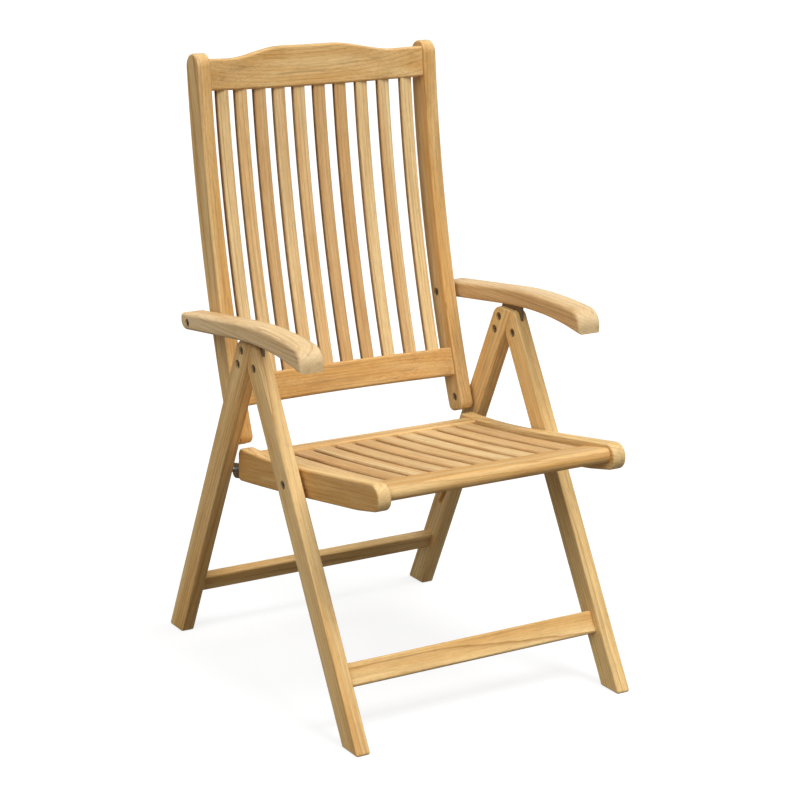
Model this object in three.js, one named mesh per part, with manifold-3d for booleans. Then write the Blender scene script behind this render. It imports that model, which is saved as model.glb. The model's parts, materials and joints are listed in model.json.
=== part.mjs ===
// Folding armchair of solid teak with a high reclining back.
// Millimetres. X runs across the chair, -Y is the front, +Z is up. The floor is z = 0, and the
// origin lies on it under the middle of the chair. Each side is drawn once, at +X, and mirrored.

import * as THREE from 'three';
import { mergeVertices } from 'three/addons/utils/BufferGeometryUtils.js';
import Module from 'manifold-3d';

const wasm = await Module();
wasm.setup();

const degree = Math.PI / 180;

// Clearances
const joint_gap = 0.3; // left between two fixed pieces
const bore_gap = 0.35; // round a bolt, a pin or a plate in its slot
const leg_running_gap = 0.6; // between the tops of the two legs
const overrun = 20; // how far a cutter runs past the wood

// Across the chair
const seat_inner_width = 439;
const rail_thickness = 26; // seat rails and back stiles
const side_gap = 6.5; // from seat rail to leg
const leg_thickness = 26;
const arm_width = 47;
const arm_overhang = 1; // how far the arm starts outside the inner face of the leg

// Legs
const half_depth = 353;
const leg_width = 46;
const leg_top_rise = 40; // leg tops above the apex pivot
const leg_edge_radius = 3.5;
const leg_edge_steps = 2;
const foot_radius = 4;
const rear_leg_lean = 25 * degree;
const front_leg_lean = 29.9 * degree;
const apex_height = 577;
const rear_shoulder_radius = 26;
const rear_tip_radius = 5;
const front_shoulder_radius = 12;

// Stretchers between the legs
const stretcher_thickness = 18;
const stretcher_edge_radius = 4;
const rear_stretcher_depth = 35.5;
const rear_stretcher_height = 101.6;
const front_stretcher_depth = 40;
const front_stretcher_height = 107.8;

// Tenons, as shares of the board that carries them and of the wood they enter
const tenon_width_share = 0.6;
const tenon_thickness_share = 0.45;
const tenon_length_share = 0.6;

// Bolts
const bolt_radius = 3;
const bolt_head_radius = 6.8;
const bolt_head_height = 4;
const bolt_recess = 1.5; // head below the face of the wood

// Steel plates that join the leg tops and carry the arm catch
const plate_thickness = 5;
const plate_apex_radius = 14;
const plate_lug_radius = 12;
const plate_bolt_upper = new THREE.Vector2(44.9, 21.8); // from the apex pivot
const plate_bolt_lower = new THREE.Vector2(57.9, -5);
const catch_corner_radius = 4;
const catch_front_reach = 8; // ahead of the apex pivot
const catch_rear_reach = 45;
const catch_front_rise = 12; // above the leg tops
const catch_rear_rise = 7.5;

// Seat
const seat_slope = 9.2 * degree;
const seat_bend_reach = 13.3; // where the straight front part of the top ends, behind the seat pivot
const seat_bend_rise = 22; // and above it
const seat_dish_radius = 1500;
const seat_rail_depth = 49.5;
const seat_underside_radius = 6500;
const seat_nose_radius = 22;
const seat_chin_rise = 4.5; // of the underside at the nose, above its straight line
const seat_chin_reach = 75; // how far behind the tip of the nose that rise starts
const seat_chin_radius = 300;
const seat_rear_setback = 15; // rear end of the rails ahead of the back pivot
const seat_rear_top_radius = 14;
const seat_rear_bottom_radius = 8;
const seat_edge_radius = 4;
const seat_pivot_height = 398.4;

const seat_front_rail_width = 77;
const seat_front_rail_thickness = 26;
const seat_front_rail_tilt = 11.8 * degree;
const seat_front_rail_setback = 88.5; // its upper rear edge behind the tip of the nose
const seat_front_rail_drop = 9.7; // that edge below the top of the seat rail
const seat_front_rail_rear_radius = 3;
const seat_rear_rail_setback = 58; // its front edge ahead of the rear end of the seat rails
const seat_rear_rail_width = 42;
const seat_rear_rail_thickness = 22;
const seat_rear_rail_drop = 3; // its front edge below the top of the seat rail
const seat_rear_rail_tilt = 5 * degree; // to the rear, against the line of the seat
const seat_rear_rail_radius = 5;

const seat_slat_count = 10;
const seat_slat_pitch = 43;
const seat_slat_width = 34;
const seat_slat_thickness = 14;
const seat_slat_edge_radius = 4.5;
const seat_slat_rear_drop = 6.5; // below the top of the seat rail
const seat_slat_front_drop = 10.5;
const seat_slat_sag = 2; // of a slat between its ends

const seat_spacer_radius = 10;
const bracket_thickness = 3;
const bracket_cover = 5; // wood between the bracket and the outer face of the seat rail
const bracket_foot_radius = 10;
const bracket_foot_reach = 36; // ahead of the guide pin
const bracket_foot_upper_rise = 8; // above the guide pin
const guide_pin_radius = 5;
const guide_pin_lug_radius = 11;
const guide_pin_lug_drop = 6; // how far the lug reaches below its round top
const guide_pin_height = 355;
const guide_pin_lead = 11.4; // ahead of the middle of the rear leg
const guide_groove_depth = 10;
const guide_pin_end_gap = 1;

// Folding
const fold_angle = 54 * degree;

// Back
const back_pivot_height = 427.5;
const back_pivot_setback = 16.5; // behind the middle of the rear leg
const back_lean = 20.5 * degree; // at the pivot
const back_radius = 2500; // of the stiles, seen from the side
const stile_depth = 48;
const stile_setback = 2.5; // middle of the stile's depth behind the line through the back pivot
const stile_edge_radius = 4;
const stile_length = 644.5; // from the pivot to the centre of the round top
const stile_tail = 25; // below the pivot
const stile_tail_radius = 13.5;
const panel_inset = 5.3; // rails and slats ahead of the line through the back pivot
const panel_bow = 37; // how far the middle of the panel lies behind its ends
const back_chord_lean = 13.1 * degree;

const lower_rail_centre = 66.5; // along the stile from the pivot
const lower_rail_height = 53;
const back_rail_thickness = 20;
const back_rail_edge_radius = 5;
const top_rail_drop = 42.5; // its lower edge below the centre of the round stile top
const top_rail_end_height = 56;
const top_rail_crest_rise = 19;
const top_rail_crest_half = 49;
const top_rail_step_half = 175;

const back_slat_count = 10;
const back_slat_pitch = 42.2;
const back_slat_width = 24;
const back_slat_thickness = 12;
const back_slat_edge_radius = 3;
const back_slat_end_gap = 0.8; // to the bowed rails, whose edges slant a little across a slat

const back_collar_radius = 9;
const back_bolt_entry = 16; // into the leg

// Arms
const arm_front_reach = 203; // ahead of the apex pivot
const arm_tail = 27.8; // behind the arm bolt
const arm_top_crest_reach = 84.4; // ahead of the apex pivot
const arm_bottom_crest_reach = 69.4;
const arm_crest_clearance = 12.5; // underside above the leg tops
const arm_crest_thickness = 32;
const arm_rear_radius = 900;
const arm_rear_slope = 6.9 * degree;
const arm_top_front_radius = 1100;
const arm_bottom_front_radius = 700;
const arm_nose_share = 0.8; // rounding of the nose, as a share of its height
const arm_tail_top_radius = 7;
const arm_tail_bottom_radius = 17;
const arm_edge_radius = 6.5;
const arm_edge_steps = 2;
const corner_room_share = 1.4; // room kept for a rounded corner, as a share of its radius
const arm_bolt_drop = 12.1; // middle of the stile there, below the crest of the underside
const arm_bolt_offset = 8; // behind the line through the back pivot
const arm_spacer_radius = 10;

// Steel rack in the underside of each arm
const channel_width = 9;
const channel_depth = 12;
const channel_front_reach = 139.4; // ahead of the apex pivot
const channel_rear_reach = 52.6;
const rack_end_gap = 10; // to each end of the channel
const rack_thickness = 6; // across the chair
const rack_web = 3;
const rack_tooth = 4;
const rack_tooth_count = 7;

// How round stretches are divided
const arc_error = 0.4; // how far a chord may lie inside its arc
const turned_sides = 10;
const hull_sides = 20;
const bend_steps = 4;
const arm_steps = 8;
const back_steps = 6;
const bow_steps = 12;

// Places that follow from the sizes
const rail_inner_x = seat_inner_width / 2;
const rail_outer_x = rail_inner_x + rail_thickness;
const leg_inner_x = rail_outer_x + side_gap;
const leg_outer_x = leg_inner_x + leg_thickness;
const leg_middle_x = (leg_inner_x + leg_outer_x) / 2;
const arm_inner_x = leg_inner_x + arm_overhang;
const arm_outer_x = arm_inner_x + arm_width;
const bracket_outer_x = rail_outer_x - bracket_cover;
const bracket_inner_x = bracket_outer_x - bracket_thickness;

// The rear corner of the foot, so far out that its rounded edge ends at half_depth
const rear_heel_y = half_depth + foot_radius * (1 / Math.tan((90 * degree - rear_leg_lean) / 2) - 1);

function rearAxisAt(height) {
  return rear_heel_y - leg_width / 2 / Math.cos(rear_leg_lean) - Math.tan(rear_leg_lean) * height;
}

const rear_board_angle = 90 * degree + rear_leg_lean; // of the length of a leg, seen from the side
const front_board_angle = 90 * degree - front_leg_lean;
const apex_y = rearAxisAt(apex_height) - (leg_width + leg_running_gap) / Math.cos(rear_leg_lean);
const apex = at(apex_y, apex_height);
const leg_top_height = apex_height + leg_top_rise;

function frontAxisAt(height) {
  return apex_y + Math.tan(front_leg_lean) * (height - apex_height);
}

const seat_pivot = at(frontAxisAt(seat_pivot_height), seat_pivot_height);
const seat_bend = seat_pivot.clone().add(at(seat_bend_reach, seat_bend_rise));
const guide_pin_place = at(rearAxisAt(guide_pin_height) - guide_pin_lead, guide_pin_height);
const back_pivot = at(rearAxisAt(back_pivot_height) + back_pivot_setback, back_pivot_height);
const seat_rear_y = back_pivot.x - seat_rear_setback;
const top_rail_start = stile_length - top_rail_drop;
const arm_bottom_crest = at(apex_y - arm_bottom_crest_reach, leg_top_height + arm_crest_clearance);
const arm_top_crest = at(apex_y - arm_top_crest_reach, arm_bottom_crest.y + arm_crest_thickness);
const arm_pivot = backPoint(wayAtHeight(arm_bottom_crest.y - arm_bolt_drop), arm_bolt_offset);

// A point seen from the side: y, then z.
function at(y, z) {
  return new THREE.Vector2(y, z);
}

function along(angle, length) {
  return at(Math.cos(angle) * length, Math.sin(angle) * length);
}

// An arc about a centre, both ends included.
function arcPoints(centre, radius, start, end) {
  const arc_step = 2 * Math.acos(1 - arc_error / radius);
  const steps = Math.max(2, Math.ceil(Math.abs(end - start) / arc_step));
  return Array.from({ length: steps + 1 }, (_, step) => {
    const angle = start + ((end - start) * step) / steps;
    return centre.clone().add(along(angle, radius));
  });
}

// A closed outline whose corners, given as [point, radius], are rounded.
function roundedOutline(corners) {
  return corners.flatMap(([corner, radius], index) => {
    if (!radius) return [corner];
    const back = corners.at(index - 1)[0].clone().sub(corner).normalize();
    const ahead = corners[(index + 1) % corners.length][0].clone().sub(corner).normalize();
    const half = Math.acos(back.dot(ahead)) / 2;
    const centre = back.clone().add(ahead).normalize().multiplyScalar(radius / Math.sin(half)).add(corner);
    const reach = radius / Math.tan(half);
    const first = back.multiplyScalar(reach).add(corner).sub(centre);
    const last = ahead.multiplyScalar(reach).add(corner).sub(centre);
    const sweep = Math.sign(first.cross(last)) * (Math.PI - 2 * half);
    return arcPoints(centre, radius, first.angle(), first.angle() + sweep);
  });
}

function sharp(points) {
  return points.map((point) => [point, 0]);
}

function spread(first, last, steps) {
  return Array.from({ length: steps + 1 }, (_, step) => first + ((last - first) * step) / steps);
}

// The outline drawn tightly round a few circles, given as [centre, radius].
function hullOutline(circles, grow = 0) {
  const angles = spread(0, 2 * Math.PI, hull_sides).slice(1);
  const cloud = circles.flatMap(([centre, radius]) =>
    angles.map((angle) => centre.clone().add(along(angle, radius + grow))));
  cloud.sort((a, b) => a.x - b.x || a.y - b.y);
  return [...halfHull(cloud), ...halfHull(cloud.reverse())];
}

function halfHull(sorted) {
  const hull = [];
  for (const point of sorted) {
    while (hull.length > 1 && turnAt(hull.at(-2), hull.at(-1), point) <= 0) hull.pop();
    hull.push(point);
  }
  return hull.slice(0, -1);
}

function turnAt(first, second, third) {
  return second.clone().sub(first).cross(third.clone().sub(second));
}

// Rectangle of a board seen end on, turned by an angle from the y axis.
function boardSection(centre, width, thickness, angle, radius = 0) {
  const forward = along(angle, width / 2);
  const up = along(angle + 90 * degree, thickness / 2);
  const corners = [[-1, -1], [1, -1], [1, 1], [-1, 1]];
  return roundedOutline(corners.map(([a, b]) => [
    centre.clone().addScaledVector(forward, a).addScaledVector(up, b), radius]));
}

const side_view = new THREE.Matrix4().makeBasis(
  new THREE.Vector3(0, 1, 0), new THREE.Vector3(0, 0, 1), new THREE.Vector3(1, 0, 0));
const axle_view = new THREE.Matrix4().makeBasis(
  new THREE.Vector3(0, 1, 0), new THREE.Vector3(1, 0, 0), new THREE.Vector3(0, 0, -1));

// A board with a side outline, between two planes across the chair, its long edges rounded.
function board(outline, inner, outer, edge = 0, edge_steps = 1) {
  const extruded = new THREE.ExtrudeGeometry(new THREE.Shape(outline), {
    depth: outer - inner - 2 * edge,
    bevelEnabled: edge > 0,
    bevelThickness: edge,
    bevelSize: edge,
    bevelOffset: -edge,
    bevelSegments: edge_steps,
  });
  return closed(extruded.translate(0, 0, inner + edge).applyMatrix4(side_view));
}

// A board in the middle of the legs and arms.
function middleBoard(outline, thickness) {
  return board(outline, leg_middle_x - thickness / 2, leg_middle_x + thickness / 2);
}

// A turned piece on an axis across the chair, from a profile of radius against x.
function turned(profile, centre) {
  const lathed = new THREE.LatheGeometry(profile, turned_sides).applyMatrix4(axle_view);
  return closed(lathed.translate(0, centre.x, centre.y));
}

// A washer round a bolt, between a seat rail or back stile and the wood outside it.
function spacer(centre, radius, outer_wood_x) {
  const bore = bolt_radius + bore_gap;
  const start = rail_outer_x + joint_gap;
  const end = outer_wood_x - joint_gap;
  const first = at(bore, start);
  return turned([first, at(radius, start), at(radius, end), at(bore, end), first], centre);
}

function middleOf(points) {
  return points.reduce((sum, point) => sum.add(point), new THREE.Vector3()).divideScalar(points.length);
}

// A skin over rings of points that follow one another, with a fan over each end.
function loft(rings) {
  const count = rings[0].length;
  const points = [...rings.flat(), middleOf(rings[0]), middleOf(rings.at(-1))];
  const first = rings.length * count;
  const last_ring = first - count;
  const index = [];
  for (let side = 0; side < count; side += 1) {
    const next = (side + 1) % count;
    index.push(first, next, side, first + 1, last_ring + side, last_ring + next);
    for (let start = 0; start < last_ring; start += count) {
      index.push(start + side, start + next, start + count + next);
      index.push(start + side, start + count + next, start + count + side);
    }
  }
  const skin = new THREE.BufferGeometry().setFromPoints(points);
  return skin.setIndex(index);
}

// The same shape with shared corners merged and triangles of no area left out.
function closed(geometry) {
  const bare = new THREE.BufferGeometry().setAttribute('position', geometry.getAttribute('position'));
  const merged = mergeVertices(bare.setIndex(geometry.getIndex()));
  const corners = merged.getIndex().array;
  const kept = [];
  for (let corner = 0; corner < corners.length; corner += 3) {
    const triangle = [...corners.slice(corner, corner + 3)];
    if (new Set(triangle).size === 3) kept.push(...triangle);
  }
  return merged.setIndex(kept);
}

function solidOf(geometry) {
  return new wasm.Manifold(new wasm.Mesh({
    numProp: 3,
    vertProperties: Float32Array.from(geometry.getAttribute('position').array),
    triVerts: Uint32Array.from(geometry.getIndex().array),
  }));
}

function geometryOf(solid) {
  const mesh = solid.getMesh();
  const geometry = new THREE.BufferGeometry();
  geometry.setAttribute('position', new THREE.BufferAttribute(mesh.vertProperties, 3));
  return geometry.setIndex(new THREE.BufferAttribute(mesh.triVerts, 1));
}

function cut(geometry, ...cutters) {
  return geometryOf(cutters.reduce((rest, cutter) => rest.subtract(solidOf(cutter)), solidOf(geometry)));
}

function join(geometry, ...others) {
  return geometryOf(others.reduce((sum, other) => sum.add(solidOf(other)), solidOf(geometry)));
}

function mirrored(geometry) {
  const copy = geometry.clone().scale(-1, 1, 1);
  const corners = copy.getIndex().array;
  for (let corner = 0; corner < corners.length; corner += 3) {
    [corners[corner], corners[corner + 1]] = [corners[corner + 1], corners[corner]];
  }
  return copy;
}

// Bolts: a low round head at each end of a plain shank.
function boltProfile(start, end) {
  const head = bolt_head_radius;
  return [at(0, start), at(head, start), at(head, start + bolt_head_height),
    at(bolt_radius, start + bolt_head_height), at(bolt_radius, end - bolt_head_height),
    at(head, end - bolt_head_height), at(head, end), at(0, end)];
}

function boltBore(start, end) {
  const head = bolt_head_radius + bore_gap;
  const shank = bolt_radius + bore_gap;
  const seat = bolt_head_height + joint_gap;
  return [at(0, start - overrun), at(head, start - overrun), at(head, start + seat), at(shank, start + seat),
    at(shank, end - seat), at(head, end - seat), at(head, end + overrun), at(0, end + overrun)];
}

function bolt(centre, inner_face, outer_face) {
  return turned(boltProfile(inner_face + bolt_recess, outer_face - bolt_recess), centre);
}

function boltHole(centre, inner_face, outer_face) {
  return turned(boltBore(inner_face + bolt_recess, outer_face - bolt_recess), centre);
}

// Tenons at both ends of a board that runs across the chair, and the mortises they enter.
function tenonReach(inner_face, wood) {
  return inner_face + wood * tenon_length_share;
}

function tenons(centre, width, thickness, angle, inner_face, wood) {
  const section = boardSection(centre, width * tenon_width_share, thickness * tenon_thickness_share, angle);
  const reach = tenonReach(inner_face, wood);
  const root = inner_face - wood;
  const tenon = board(section, root, reach);
  return [tenon, mirrored(tenon)];
}

function mortise(centre, width, thickness, angle, inner_face, wood) {
  const section = boardSection(centre, width * tenon_width_share + 2 * joint_gap,
    thickness * tenon_thickness_share + 2 * joint_gap, angle);
  return board(section, inner_face - wood, tenonReach(inner_face, wood) + joint_gap);
}

// Materials: one finish each, with a fresh copy for every piece.
function teak(tone) {
  return new THREE.MeshStandardMaterial({ color: tone, roughness: 0.62, metalness: 0 });
}

const frameTeak = () => teak('#c39a63');
const slatTeak = () => teak('#cfa76e');
const armTeak = () => teak('#b99a70');
const darkSteel = () => new THREE.MeshStandardMaterial({ color: '#5a4d42', roughness: 0.45, metalness: 0.9 });
const brightSteel = () => new THREE.MeshStandardMaterial({ color: '#9c9d9e', roughness: 0.3, metalness: 1 });

// A group that turns about a pivot; what is put in it is drawn in the chair's own frame.
function turningGroup(parent, pivot) {
  const group = new THREE.Group();
  const origin = new THREE.Vector3(0, pivot.x, pivot.y);
  group.userData.origin = origin;
  group.position.copy(origin).sub(parent.userData.origin);
  parent.add(group);
  return group;
}

function addPiece(group, name, geometry, material) {
  const origin = group.userData.origin;
  const placed = geometry.clone().translate(0, -origin.y, -origin.z);
  placed.computeVertexNormals();
  const mesh = new THREE.Mesh(placed, material);
  mesh.name = name;
  group.add(mesh);
}

function addPair(group, name, geometry, material) {
  addPiece(group, `${name}_right`, geometry, material());
  addPiece(group, `${name}_left`, mirrored(geometry), material());
}

// Rear legs, with the slot for the steel plate, the guide groove and the back pivot hole.
function legCorner(axisAt, lean, height, side, radius) {
  return [at(axisAt(height) + (side * leg_width) / 2 / Math.cos(lean), height), radius];
}

function rearLeg() {
  const outline = roundedOutline([
    legCorner(rearAxisAt, rear_leg_lean, 0, -1, foot_radius),
    legCorner(rearAxisAt, rear_leg_lean, 0, 1, foot_radius),
    legCorner(rearAxisAt, rear_leg_lean, leg_top_height, 1, rear_shoulder_radius),
    legCorner(rearAxisAt, rear_leg_lean, leg_top_height, -1, rear_tip_radius),
  ]);
  return cut(
    board(outline, leg_inner_x, leg_outer_x, leg_edge_radius, leg_edge_steps),
    middleBoard(hullOutline(plateCircles(), bore_gap), plate_thickness + 2 * bore_gap),
    ...plateBolts().map((centre) => boltHole(centre, leg_inner_x, leg_outer_x)),
    board(grooveOutline(), leg_inner_x - side_gap, leg_inner_x + guide_groove_depth),
    turned(backBoltBore(), back_pivot),
    stretcherMortise(rearAxisAt, rear_board_angle, rear_stretcher_height, rear_stretcher_depth),
  );
}

// Front legs: rounded about the apex pivot so that they can turn beside the rear legs, with a
// slot as wide as the plate sweeps in them while they fold.
function frontLeg() {
  const facet_foot = apex.clone().add(along(rear_leg_lean, leg_width / 2));
  const facet_run = (leg_top_height - facet_foot.y) / Math.cos(rear_leg_lean);
  const facet_top = facet_foot.add(along(rear_leg_lean + 90 * degree, facet_run));
  const outline = roundedOutline([
    legCorner(frontAxisAt, front_leg_lean, 0, -1, foot_radius),
    legCorner(frontAxisAt, front_leg_lean, 0, 1, foot_radius),
    ...sharp(arcPoints(apex, leg_width / 2, -front_leg_lean, rear_leg_lean)),
    [facet_top, 0],
    legCorner(frontAxisAt, front_leg_lean, leg_top_height, -1, front_shoulder_radius),
  ]);
  const turns = spread(0, -fold_angle, bend_steps);
  const swept = turns.flatMap((turn) =>
    plateCircles().map(([centre, radius]) => [turnedAbout(centre, apex, turn), radius]));
  return cut(
    board(outline, leg_inner_x, leg_outer_x, leg_edge_radius, leg_edge_steps),
    middleBoard(hullOutline(swept, bore_gap), plate_thickness + 2 * bore_gap),
    boltHole(apex, leg_inner_x, leg_outer_x),
    boltHole(seat_pivot, rail_inner_x, leg_outer_x),
    stretcherMortise(frontAxisAt, front_board_angle, front_stretcher_height, front_stretcher_depth),
  );
}

// Stretchers: flat boards between the legs, turned with them.
function stretcher(axisAt, angle, height, depth) {
  const centre = at(axisAt(height), height);
  const section = boardSection(centre, depth, stretcher_thickness, angle, stretcher_edge_radius);
  const reach = leg_inner_x - joint_gap;
  return join(
    board(section, -reach, reach),
    ...tenons(centre, depth, stretcher_thickness, angle, leg_inner_x, leg_thickness),
  );
}

function stretcherMortise(axisAt, angle, height, depth) {
  const centre = at(axisAt(height), height);
  return mortise(centre, depth, stretcher_thickness, angle, leg_inner_x, leg_thickness);
}

// Plates: steel, let into the rear leg, with the catch for the arm standing above the leg tops.
function plateBolts() {
  return [apex.clone().add(plate_bolt_upper), apex.clone().add(plate_bolt_lower)];
}

function plateCircles() {
  const catchCorner = (y, rise) => [at(y, leg_top_height + rise - catch_corner_radius), catch_corner_radius];
  return [
    [apex, plate_apex_radius],
    ...plateBolts().map((centre) => [centre, plate_lug_radius]),
    catchCorner(apex_y - catch_front_reach, catch_front_rise),
    catchCorner(apex_y + catch_rear_reach, catch_rear_rise),
  ];
}

function apexPlate() {
  return cut(
    middleBoard(hullOutline(plateCircles()), plate_thickness),
    boltHole(apex, leg_inner_x, leg_outer_x),
    ...plateBolts().map((centre) => boltHole(centre, leg_inner_x, leg_outer_x)),
  );
}

// Top and bottom line of the seat rail: straight to the front, a wide arc to the rear.
function seatLine(bend, radius) {
  const centre = bend.clone().add(along(90 * degree - seat_slope, radius));
  return (y) => {
    if (y <= bend.x) return bend.y + Math.tan(seat_slope) * (bend.x - y);
    return centre.y - Math.sqrt(radius ** 2 - (y - centre.x) ** 2);
  };
}

const seat_lower_bend = seat_bend.clone().add(along(-90 * degree - seat_slope, seat_rail_depth));
const seatTopAt = seatLine(seat_bend, seat_dish_radius);
const seatBottomAt = seatLine(seat_lower_bend, seat_underside_radius);

function sampled(lineAt, first, last, steps = bend_steps) {
  return spread(first, last, steps).map((y) => at(y, lineAt(y)));
}

// The nose is cut square to the slope, so far out that its rounding ends at half_depth. From the
// chin on, the underside rises towards it.
function seatNoseCorners() {
  const rounding = seat_nose_radius * (1 - Math.sin(seat_slope));
  const run = seat_nose_radius + (seat_lower_bend.x + half_depth - rounding) / Math.cos(seat_slope);
  const underside = along(180 * degree - seat_slope, 1);
  const onUnderside = (distance) => seat_lower_bend.clone().addScaledVector(underside, distance);
  const up = (distance) => along(90 * degree - seat_slope, distance);
  return [
    onUnderside(run).add(up(seat_rail_depth)), onUnderside(run).add(up(seat_chin_rise)),
    onUnderside(run - seat_chin_reach),
  ];
}

function seatRail() {
  const [nose_top, nose_bottom, chin] = seatNoseCorners();
  const outline = roundedOutline([
    [nose_top, seat_nose_radius],
    [nose_bottom, seat_nose_radius],
    [chin, seat_chin_radius],
    ...sharp(sampled(seatBottomAt, seat_lower_bend.x, seat_rear_y).slice(0, -1)),
    [at(seat_rear_y, seatBottomAt(seat_rear_y)), seat_rear_bottom_radius],
    [at(seat_rear_y, seatTopAt(seat_rear_y)), seat_rear_top_radius],
    ...sharp(sampled(seatTopAt, seat_rear_y, seat_bend.x).slice(1)),
  ]);
  return cut(
    board(outline, rail_inner_x, rail_outer_x, seat_edge_radius),
    boltHole(seat_pivot, rail_inner_x, leg_outer_x),
    mortise(...frontRailEnd(), rail_inner_x, rail_thickness),
    mortise(...rearRailEnd(), rail_inner_x, rail_thickness),
    board(bracketOutline(bore_gap), bracket_inner_x - bore_gap, bracket_outer_x + bore_gap),
  );
}

// Front rail: a wide board with a full round front edge.
function frontRailEnd() {
  const start_y = seat_front_rail_setback - half_depth;
  const forward = along(180 * degree - seat_front_rail_tilt, seat_front_rail_width / 2);
  const down = along(-90 * degree - seat_front_rail_tilt, seat_front_rail_thickness / 2);
  const centre = at(start_y, seatTopAt(start_y) - seat_front_rail_drop).add(forward).add(down);
  return [centre, seat_front_rail_width, seat_front_rail_thickness, -seat_front_rail_tilt];
}

function crossRail(section, end) {
  const reach = rail_inner_x - joint_gap;
  return join(board(section, -reach, reach), ...tenons(...end, rail_inner_x, rail_thickness));
}

function frontRailSection() {
  const [centre, width, thickness, angle] = frontRailEnd();
  const front_radius = thickness / 2 - joint_gap;
  const forward = along(angle, width / 2);
  const up = along(angle + 90 * degree, thickness / 2);
  const corner = (a, b, radius) => [
    centre.clone().addScaledVector(forward, a).addScaledVector(up, b), radius];
  return roundedOutline([
    corner(-1, -1, front_radius), corner(1, -1, seat_front_rail_rear_radius),
    corner(1, 1, seat_front_rail_rear_radius), corner(-1, 1, front_radius),
  ]);
}

function rearRailEnd() {
  const front_y = seat_rear_y - seat_rear_rail_setback;
  const rear_y = front_y + seat_rear_rail_width;
  const front = at(front_y, seatTopAt(front_y));
  const slope = (seatTopAt(rear_y) - front.y) / seat_rear_rail_width;
  const angle = Math.atan(slope) - seat_rear_rail_tilt;
  const drop = seat_rear_rail_drop + seat_rear_rail_thickness / 2;
  const centre = front.add(along(angle, seat_rear_rail_width / 2)).add(along(angle - 90 * degree, drop));
  return [centre, seat_rear_rail_width, seat_rear_rail_thickness, angle];
}

// Slats: they run from rear rail to front rail with a little sag, and are less dished than the rails.
function seatSlatOutline() {
  const [front_centre, front_width, , front_angle] = frontRailEnd();
  const front_face = front_centre.clone().add(along(front_angle, front_width / 2 + joint_gap));
  const [rear_centre, rear_width, , rear_angle] = rearRailEnd();
  const rear_face = rear_centre.clone().sub(along(rear_angle, rear_width / 2 + joint_gap));
  const faceY = (face, angle, z) => face.x + Math.tan(-angle) * (z - face.y);
  const front_top = seatTopAt(front_face.x) - seat_slat_front_drop;
  const rear_top = seatTopAt(rear_face.x) - seat_slat_rear_drop;
  const topAt = (y) => {
    const progress = (y - front_face.x) / (rear_face.x - front_face.x);
    return front_top + (rear_top - front_top) * progress - 4 * seat_slat_sag * progress * (1 - progress);
  };
  const bottomAt = (y) => topAt(y) - seat_slat_thickness / Math.cos(seat_slope);
  const end = (face, angle, lineAt) => at(faceY(face, angle, lineAt(face.x)), lineAt(face.x));
  return [
    end(front_face, front_angle, topAt), end(front_face, front_angle, bottomAt),
    ...sampled(bottomAt, front_face.x, rear_face.x).slice(1, -1),
    end(rear_face, rear_angle, bottomAt), end(rear_face, rear_angle, topAt),
    ...sampled(topAt, rear_face.x, front_face.x).slice(1, -1),
  ];
}

function seatSlat(index) {
  const middle = (index - (seat_slat_count - 1) / 2) * seat_slat_pitch;
  const half = seat_slat_width / 2;
  return board(seatSlatOutline(), middle - half, middle + half, seat_slat_edge_radius);
}

// Brackets: a steel plate let into the end of each seat rail, with a pin that slides in the rear leg.
function bracketOutline(grow) {
  const foot = guide_pin_place.clone().sub(at(bracket_foot_reach, 0));
  return hullOutline([
    [foot.clone().add(at(0, bracket_foot_upper_rise)), bracket_foot_radius],
    [foot, bracket_foot_radius],
    [guide_pin_place, guide_pin_lug_radius],
    [guide_pin_place.clone().sub(at(0, guide_pin_lug_drop)), guide_pin_lug_radius],
  ], grow);
}

function seatBracket() {
  const start = bracket_inner_x;
  const pin_end = leg_inner_x + guide_groove_depth - guide_pin_end_gap;
  const profile = [at(0, start), at(guide_pin_radius, start), at(guide_pin_radius, pin_end), at(0, pin_end)];
  return join(board(bracketOutline(0), start, bracket_outer_x), turned(profile, guide_pin_place));
}

// Way of the guide pin while the front legs fold: the seat turns evenly with them, and both
// ends of the way lie where a seat of this length puts the pin on the rear leg.
function turnedAbout(point, centre, angle) {
  return point.clone().rotateAround(centre, angle);
}

function foldedPinPlace(folded_seat_pivot) {
  const up = along(rear_leg_lean + 90 * degree, 1);
  const start = at(rearAxisAt(0), 0).sub(folded_seat_pivot);
  const reach = guide_pin_place.distanceTo(seat_pivot);
  const lead = start.dot(up);
  const run = -lead - Math.sqrt(lead ** 2 - start.lengthSq() + reach ** 2);
  return start.addScaledVector(up, run).add(folded_seat_pivot);
}

function pinWay() {
  const folded_seat_pivot = turnedAbout(seat_pivot, apex, fold_angle);
  const before = guide_pin_place.clone().sub(seat_pivot);
  const after = foldedPinPlace(folded_seat_pivot).sub(folded_seat_pivot);
  const seat_turn = Math.atan2(before.cross(after), before.dot(after));
  return spread(0, 1, bend_steps).map((progress) => {
    const pivot = turnedAbout(seat_pivot, apex, fold_angle * progress);
    return pivot.add(before.clone().rotateAround(at(0, 0), seat_turn * progress));
  });
}

function grooveOutline() {
  const way = pinWay();
  const radius = guide_pin_radius + 2 * bore_gap;
  const first = way[0].clone().sub(way[1]).angle();
  const last = way.at(-1).clone().sub(way.at(-2)).angle();
  const side = (offset) => way.slice(1, -1).map((point, index) => {
    const heading = way[index + 2].clone().sub(way[index]).angle();
    return point.clone().add(along(heading + offset, radius));
  });
  return [
    ...arcPoints(way[0], radius, first - 90 * degree, first + 90 * degree),
    ...side(-90 * degree),
    ...arcPoints(way.at(-1), radius, last - 90 * degree, last + 90 * degree),
    ...side(90 * degree).reverse(),
  ];
}

// Back: a point on the curved stile, by its way from the pivot and its offset to the rear.
function backLeanAt(way) {
  return back_lean - way / back_radius;
}

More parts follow.
